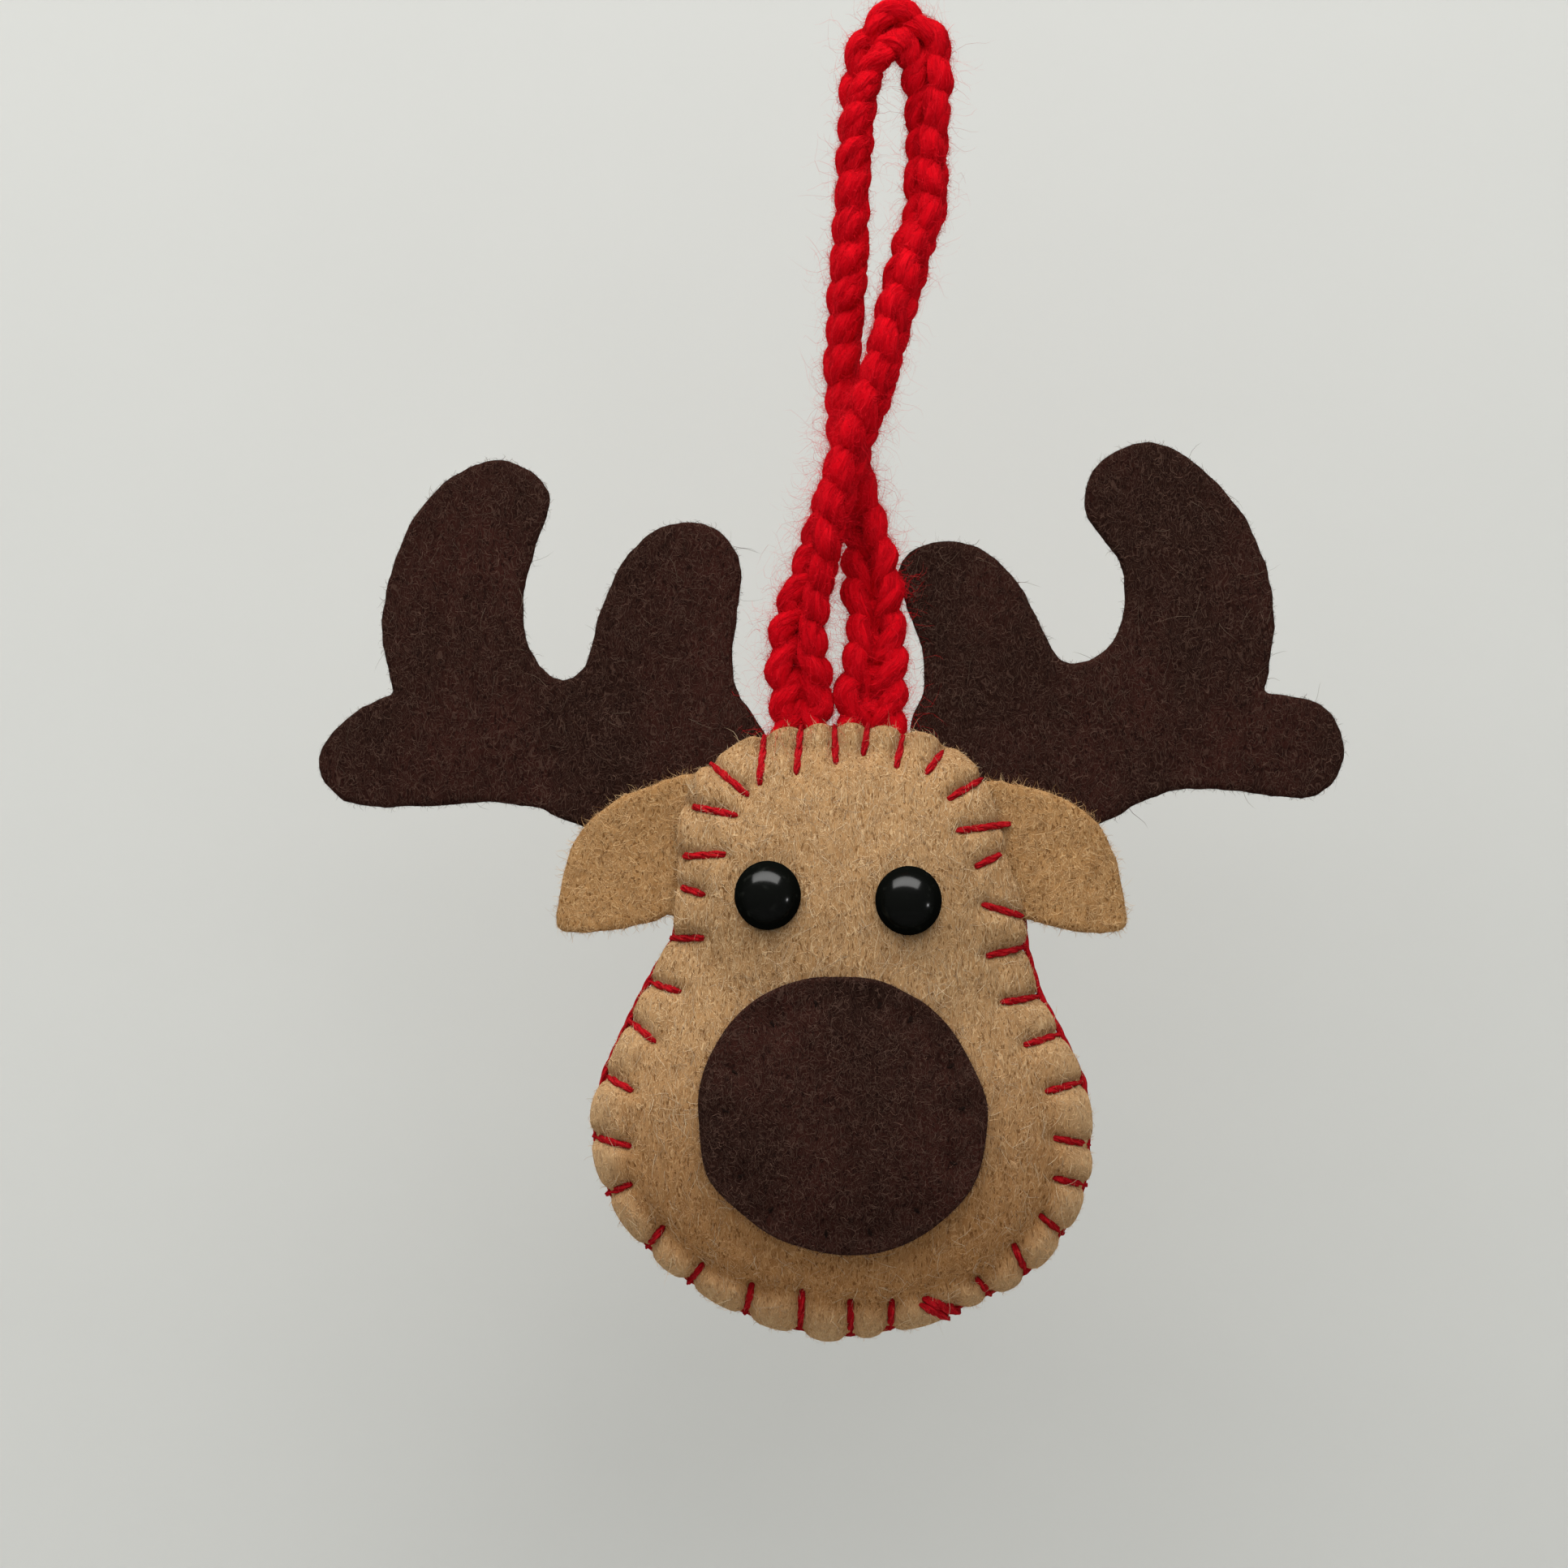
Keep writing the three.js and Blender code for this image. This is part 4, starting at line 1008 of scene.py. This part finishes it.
def chain_yarn():
    """The yarn's own line through every stitch of the chain, its radius and the chain's middle."""
    count = int(loop_length / CHAIN_PITCH) - 1
    mirrored = CHAIN_LEG[::-1] * (1, -1, 1)
    unit = np.vstack([CHAIN_LEG, CHAIN_TOP, mirrored, CHAIN_BACK])
    rng = np.random.default_rng(12)
    knots = []
    for i in range(count):
        stitch = unit + (i, 0, 0)
        stitch[:, 1:] *= rng.uniform(0.9, 1.1)
        stitch += rng.normal(0, 0.05, stitch.shape)
        knots.append(stitch)
    knots = np.vstack(knots) * (loop_length / (count + 0.6), 1, 1)
    knots = even_line(knots, step=0.42)
    along = np.gradient(loop_line, axis=0)
    along /= np.linalg.norm(along, axis=1)[:, None]
    shares = loop_reach / loop_length
    face = np.stack([np.interp(shares, FACE_STOPS, FACE_WAYS[:, i]) for i in range(3)], 1)
    face -= along * (face * along).sum(1)[:, None]
    face /= np.linalg.norm(face, axis=1)[:, None]
    across = np.cross(face, along)
    tucked = np.minimum(loop_reach, loop_length - loop_reach)
    thickness = np.interp(tucked, TUCK_STOPS, TUCK_THICKNESS)
    thickness = thickness * np.interp(shares, SLIM_STOPS, SLIM_THICKNESS)
    width = np.interp(shares, WIDTH_STOPS, WIDTHS)
    at = np.clip(knots[:, 0], 0, loop_length)

    def here(values):
        return np.stack([np.interp(at, loop_reach, values[:, i]) for i in range(3)], 1)

    aside = knots[:, 1] * np.interp(at, loop_reach, width)
    proud = knots[:, 2] * np.interp(at, loop_reach, thickness)
    line = here(loop_line) + here(across) * aside[:, None] + here(face) * proud[:, None]
    return line, YARN_RADIUS + 0.22 * (np.abs(knots[:, 1]) - 1.2), here(loop_line)


yarn_line, yarn_radius, yarn_core = chain_yarn()
yarn_plies = twisted(yarn_line, yarn_radius, YARN_PLIES, 8.0, spread=0.24)
chain = strands_mesh("hanging_chain", yarn_plies, PLY_SIDES)
dressed(chain, YARN, None)
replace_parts(chain, "hanging_loop", "loop_end_left", "loop_end_right")

# Which way the yarn runs at each of the chain's points, and how far outside it the point is
yarn_way = np.vstack([np.repeat(frames_along(line)[0], PLY_SIDES, 0) for line, _ in yarn_plies])
yarn_middle = np.tile(np.repeat(yarn_core, PLY_SIDES, 0), (YARN_PLIES, 1))
yarn_shown = ramp(np.linalg.norm(points_of(chain) - yarn_middle, axis=1), 1.5, 2.3)
yarn_low = yarn_shown * np.clip((-20 - points_of(chain)[:, 2]) / 30, 0.35, 1)


# Loose fibres on felt and yarn

# How deep a root sits, what share a tip droops and narrows, and how far an edge turns fibres up
ROOT_DEPTH, DROOP, NARROWING, EDGE_RISE = 0.08, 0.55, 0.65, 40

# How far a fibre curls, as a share of its length, what that shortens it by, and how it waves
CURL, CURL_SHORTENS, WAVE, WAVE_TURN = 0.55, 0.18, (0.08, 0.2), 5.5


def loose_fibres(
    name, source, count, length, width, lift, seed,
    side=None, lay=None, shown=None, crimp=1.0, bends=5, trimmed=0.85,
):
    """Curled fibres over a surface. At the edge of felt they stand up and are trimmed short.

    Felt has a side, FRONT, BACK or 0 for both. lay says which way fibres run at each point of the
    source, and shown how likely one grows there.
    """
    rng = np.random.default_rng(seed)
    mesh = source.data
    mesh.calc_loop_triangles()
    corners = np.zeros(len(mesh.loop_triangles) * 3, np.int32)
    mesh.loop_triangles.foreach_get("vertices", corners)
    corners = corners.reshape(-1, 3)
    a, b, c = (points_of(source)[corners[:, i]] for i in range(3))
    normals = np.cross(b - a, c - a)
    area = np.linalg.norm(normals, axis=1)
    normals /= np.maximum(area, 1e-12)[:, None]
    edge = np.zeros(len(area)) if side is None else 1 - np.abs(normals[:, 1])
    share = area * (1 + edge)
    if side:
        share = share * (normals[:, 1] * side > -0.35)
    if shown is not None:
        share = share * shown[corners[:, 0]]
    pick = rng.choice(len(area), count, p=share / share.sum())
    u, v = rng.random((2, count, 1))
    u, v = np.where(u + v > 1, 1 - u, u), np.where(u + v > 1, 1 - v, v)
    root = a[pick] + u * (b - a)[pick] + v * (c - a)[pick]
    up = normals[pick]
    way = rng.normal(size=(count, 3))
    if lay is not None:
        way = way * 0.5 + lay[corners[pick, 0]] * rng.choice([-1, 1], (count, 1))
    way -= up * (way * up).sum(1)[:, None]
    way /= np.linalg.norm(way, axis=1)[:, None]
    bend = np.cross(up, way)
    edge = edge[pick][:, None]
    reach = rng.uniform(*length, (count, 1)) * (1 - trimmed * np.sqrt(edge))
    rise = rng.uniform(*lift, (count, 1)) + EDGE_RISE * edge * rng.random((count, 1))
    rise = np.radians(rise)
    curl = rng.uniform(-CURL, CURL, (count, 1)) * crimp
    wave = rng.uniform(*WAVE, (count, 1)) * rng.choice([-1, 1], (count, 1)) * crimp
    phase = rng.uniform(0, 2 * np.pi, (count, 1))
    tilt = rng.uniform(-1.0, 1.0, (count, 1))
    flat = bend * np.cos(tilt) + up * np.sin(tilt)
    thick = rng.uniform(0.6, 1.2, (count, 1)) * width / 2
    rings = []
    steps = np.linspace(0, 1, bends + 1)
    for t in steps:
        forth = t * np.cos(rise) * (1 - CURL_SHORTENS * t * abs(curl))
        sway = curl * t * t + wave * (np.sin(WAVE_TURN * t + phase) - np.sin(phase))
        high = t * np.sin(rise) - DROOP * t * t * np.sin(rise)
        point = root - up * ROOT_DEPTH + reach * (way * forth + bend * sway + up * high)
        narrow = thick * (1 - NARROWING * t)
        rings.append([point] if t == 1 else [point - flat * narrow, point + flat * narrow])
    points = np.stack([p for pair in rings for p in pair], 1)
    corners_each = points.shape[1]
    base = np.arange(count)[:, None] * corners_each
    quads = [base + np.array([i, i + 1, i + 3, i + 2]) for i in range(0, corners_each - 3, 2)]
    tips = base + np.array([corners_each - 3, corners_each - 2, corners_each - 1])
    own = np.repeat(rng.random(count), corners_each)
    height = np.tile(np.concatenate([np.repeat(steps[:-1], 2), [1]]), count)
    uv = np.stack([own, height], 1)
    return woven_mesh(name, points.reshape(-1, 3), [np.vstack(quads), tips], uv)


def upright(piece):
    """Fibres of a panel lie mostly up and down."""
    return np.tile((0.0, 0.0, 0.6), (len(piece.data.vertices), 1))


TAN_FUZZ = {"length": (0.8, 2.6), "width": 0.06, "lift": (4, 30), "crimp": 0.7, "trimmed": 0.66}
BROWN_FUZZ = {"length": (0.5, 1.7), "width": 0.06, "lift": (4, 34), "trimmed": 0.55}
STRAY = {"length": (2.0, 5.5), "width": 0.064, "lift": (2, 8), "crimp": 0.35}
YARN_SHORT = {"length": (0.9, 2.4), "width": 0.055, "lift": (6, 40), "lay": yarn_way}
YARN_DOWN = {"length": (0.6, 1.6), "width": 0.058, "lift": (20, 75), "bends": 3}
YARN_HALO = {"length": (2.4, 7.5), "width": 0.033, "lift": (12, 65)}
on_front = {"side": FRONT, "lay": upright(front)}
on_back = {"side": BACK, "lay": upright(back)}
dressed(loose_fibres("face_fibres", front, 21000, seed=31, **on_front, **TAN_FUZZ), TAN_FIBRE)
dressed(loose_fibres("back_fibres", back, 16000, seed=32, **on_back, **TAN_FUZZ), TAN_FIBRE)
dressed(loose_fibres("nose_fibres", nose, 9000, seed=33, side=FRONT, **BROWN_FUZZ), BROWN_FIBRE)
dressed(loose_fibres("face_strays", front, 3400, seed=42, **on_front, **STRAY), PALE_FIBRE)
for i, hand in enumerate(["left", "right"]):
    ear, antler = f"ear_{hand}", f"antler_{hand}"
    fuzz = loose_fibres(f"{ear}_fibres", ears[hand], 5200, seed=34 + i, side=0, **TAN_FUZZ)
    dressed(fuzz, SHADED_EAR_FIBRE)
    fuzz = loose_fibres(f"{antler}_fibres", antlers[hand], 18000, seed=36 + i, side=0, **BROWN_FUZZ)
    dressed(fuzz, BROWN_FIBRE)
    strays = loose_fibres(f"{antler}_strays", antlers[hand], 170, seed=43 + i, **STRAY)
    dressed(strays, DULL_FIBRE)
yarn_fuzz = [
    loose_fibres("yarn_fibres", chain, 21000, seed=40, shown=yarn_shown, **YARN_SHORT),
    loose_fibres("yarn_down", chain, 39000, seed=45, shown=yarn_shown, **YARN_DOWN),
    loose_fibres("yarn_halo", chain, 7000, seed=41, shown=yarn_low, **YARN_HALO),
]
for piece in yarn_fuzz:
    dressed(piece, YARN_FIBRE, None)
for piece in [chain, *yarn_fuzz]:
    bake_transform(piece)


# Stage, light and camera, in metres

WALL, WALL_TOP, FLOOR, FLOOR_END, HALF_WIDTH, BEND = 0.09, 1.6, -0.45, -2.5, 2.5, 0.15
FADE_START, FADE_END = 0.5, 0.95


def backdrop():
    """A pale sheet that comes down behind the ornament and fades into the room around it."""
    turns = np.linspace(0, math.pi / 2, 12)
    curve = [(WALL - BEND * (1 - math.cos(t)), FLOOR + BEND * (1 - math.sin(t))) for t in turns]
    profile = [(WALL, WALL_TOP), *curve, (FLOOR_END, FLOOR)]
    points = [(x, y, z) for y, z in profile for x in (-HALF_WIDTH, HALF_WIDTH)]
    faces = [(2 * i, 2 * i + 2, 2 * i + 3, 2 * i + 1) for i in range(len(profile) - 1)]
    mesh = bpy.data.meshes.new("backdrop")
    mesh.from_pydata(points, [], faces)
    mesh.shade_smooth()
    paper = Finish("backdrop_paper", {"Roughness": 0.9, "Specular IOR Level": 0.1})
    mottle = paper.grain(paper.place(), scale=40.0, detail=3.0)
    colour = paper.mixed(mottle, (0.585, 0.59, 0.57, 1), (0.6, 0.605, 0.585, 1))
    mirrored = paper.node("ShaderNodeLightPath", {}, {}, "Is Glossy Ray")
    paper.feed("Base Color", paper.mixed(mirrored, colour, (0.05, 0.05, 0.05, 1)))
    behind = paper.node("ShaderNodeNewGeometry", {}, {}, "Backfacing")
    clear = paper.node("ShaderNodeBsdfTransparent", {}, {})
    sheet = Tone(paper, paper.shader.outputs[0])
    away = paper.node("ShaderNodeVectorMath", {"operation": "LENGTH"}, {0: paper.place()}, "Value")
    gone = behind.maths("MAXIMUM", paper.between(away, FADE_START, FADE_END))
    shown = paper.node("ShaderNodeMixShader", {}, {0: gone, 1: sheet, 2: clear})
    paper.tree.links.new(shown.socket, paper.tree.nodes["Material Output"].inputs["Surface"])
    mesh.materials.append(paper.material)
    linked("backdrop", mesh)


backdrop()


def lamp(name, place, aim, size, energy, colour, mirrored=True):
    light = bpy.data.lights.new(name, "AREA")
    light.shape = "RECTANGLE"
    light.size, light.size_y = size
    light.energy = energy
    light.color = colour
    holder = linked(name, light)
    holder.location = place
    holder.rotation_euler = (Vector(aim) - Vector(place)).to_track_quat("-Z", "Y").to_euler()
    holder.visible_glossy = mirrored


CENTRE = (-0.0136, 0, -0.0894)
WARM, WHITE = (1.0, 0.995, 0.97), (1.0, 1.0, 1.0)
lamp("window", (-0.1, -0.38, 0.74), CENTRE, size=(1.5, 0.6), energy=11.0, colour=WARM)
lamp("far_window", (0.85, -0.36, -0.26), CENTRE, size=(0.07, 0.07), energy=0.3, colour=WHITE)
lamp("sky", (-0.2, -0.8, 0.6), CENTRE, size=(1.9, 1.2), energy=9.9, colour=WARM, mirrored=False)


def pale_room():
    """Even light from all round, pale to the camera and dim in polished surfaces."""
    world = bpy.data.worlds.new("pale_room")
    bpy.context.scene.world = world
    world.use_nodes = True
    room = Nodes(world.node_tree)
    even = room.tree.nodes["Background"]
    even.inputs["Color"].default_value = (0.95, 0.97, 1.0, 1)
    even.inputs["Strength"].default_value = 0.2
    shown = Tone(room, even.outputs[0])
    for kind, strength in (("Is Glossy Ray", 0.05), ("Is Camera Ray", 0.78)):
        ray = room.node("ShaderNodeLightPath", {}, {}, kind)
        pale = {"Color": (1.0, 1.0, 0.98, 1), "Strength": strength}
        other = room.node("ShaderNodeBackground", {}, pale)
        shown = room.node("ShaderNodeMixShader", {}, {0: ray, 1: shown, 2: other})
    room.tree.links.new(shown.socket, room.tree.nodes["World Output"].inputs["Surface"])


pale_room()

# The camera's distance from the ornament, and how much of it the picture spans there
DISTANCE, SPAN, SENSOR = 0.42, 0.1932, 36
camera = linked("camera", bpy.data.cameras.new("camera"))
camera.location = (CENTRE[0], -DISTANCE, CENTRE[2])
camera.rotation_euler = (math.pi / 2, 0, 0)
camera.data.sensor_width = SENSOR
camera.data.lens = SENSOR * DISTANCE / SPAN
bpy.context.scene.camera = camera
bpy.context.scene.view_settings.view_transform = "Standard"
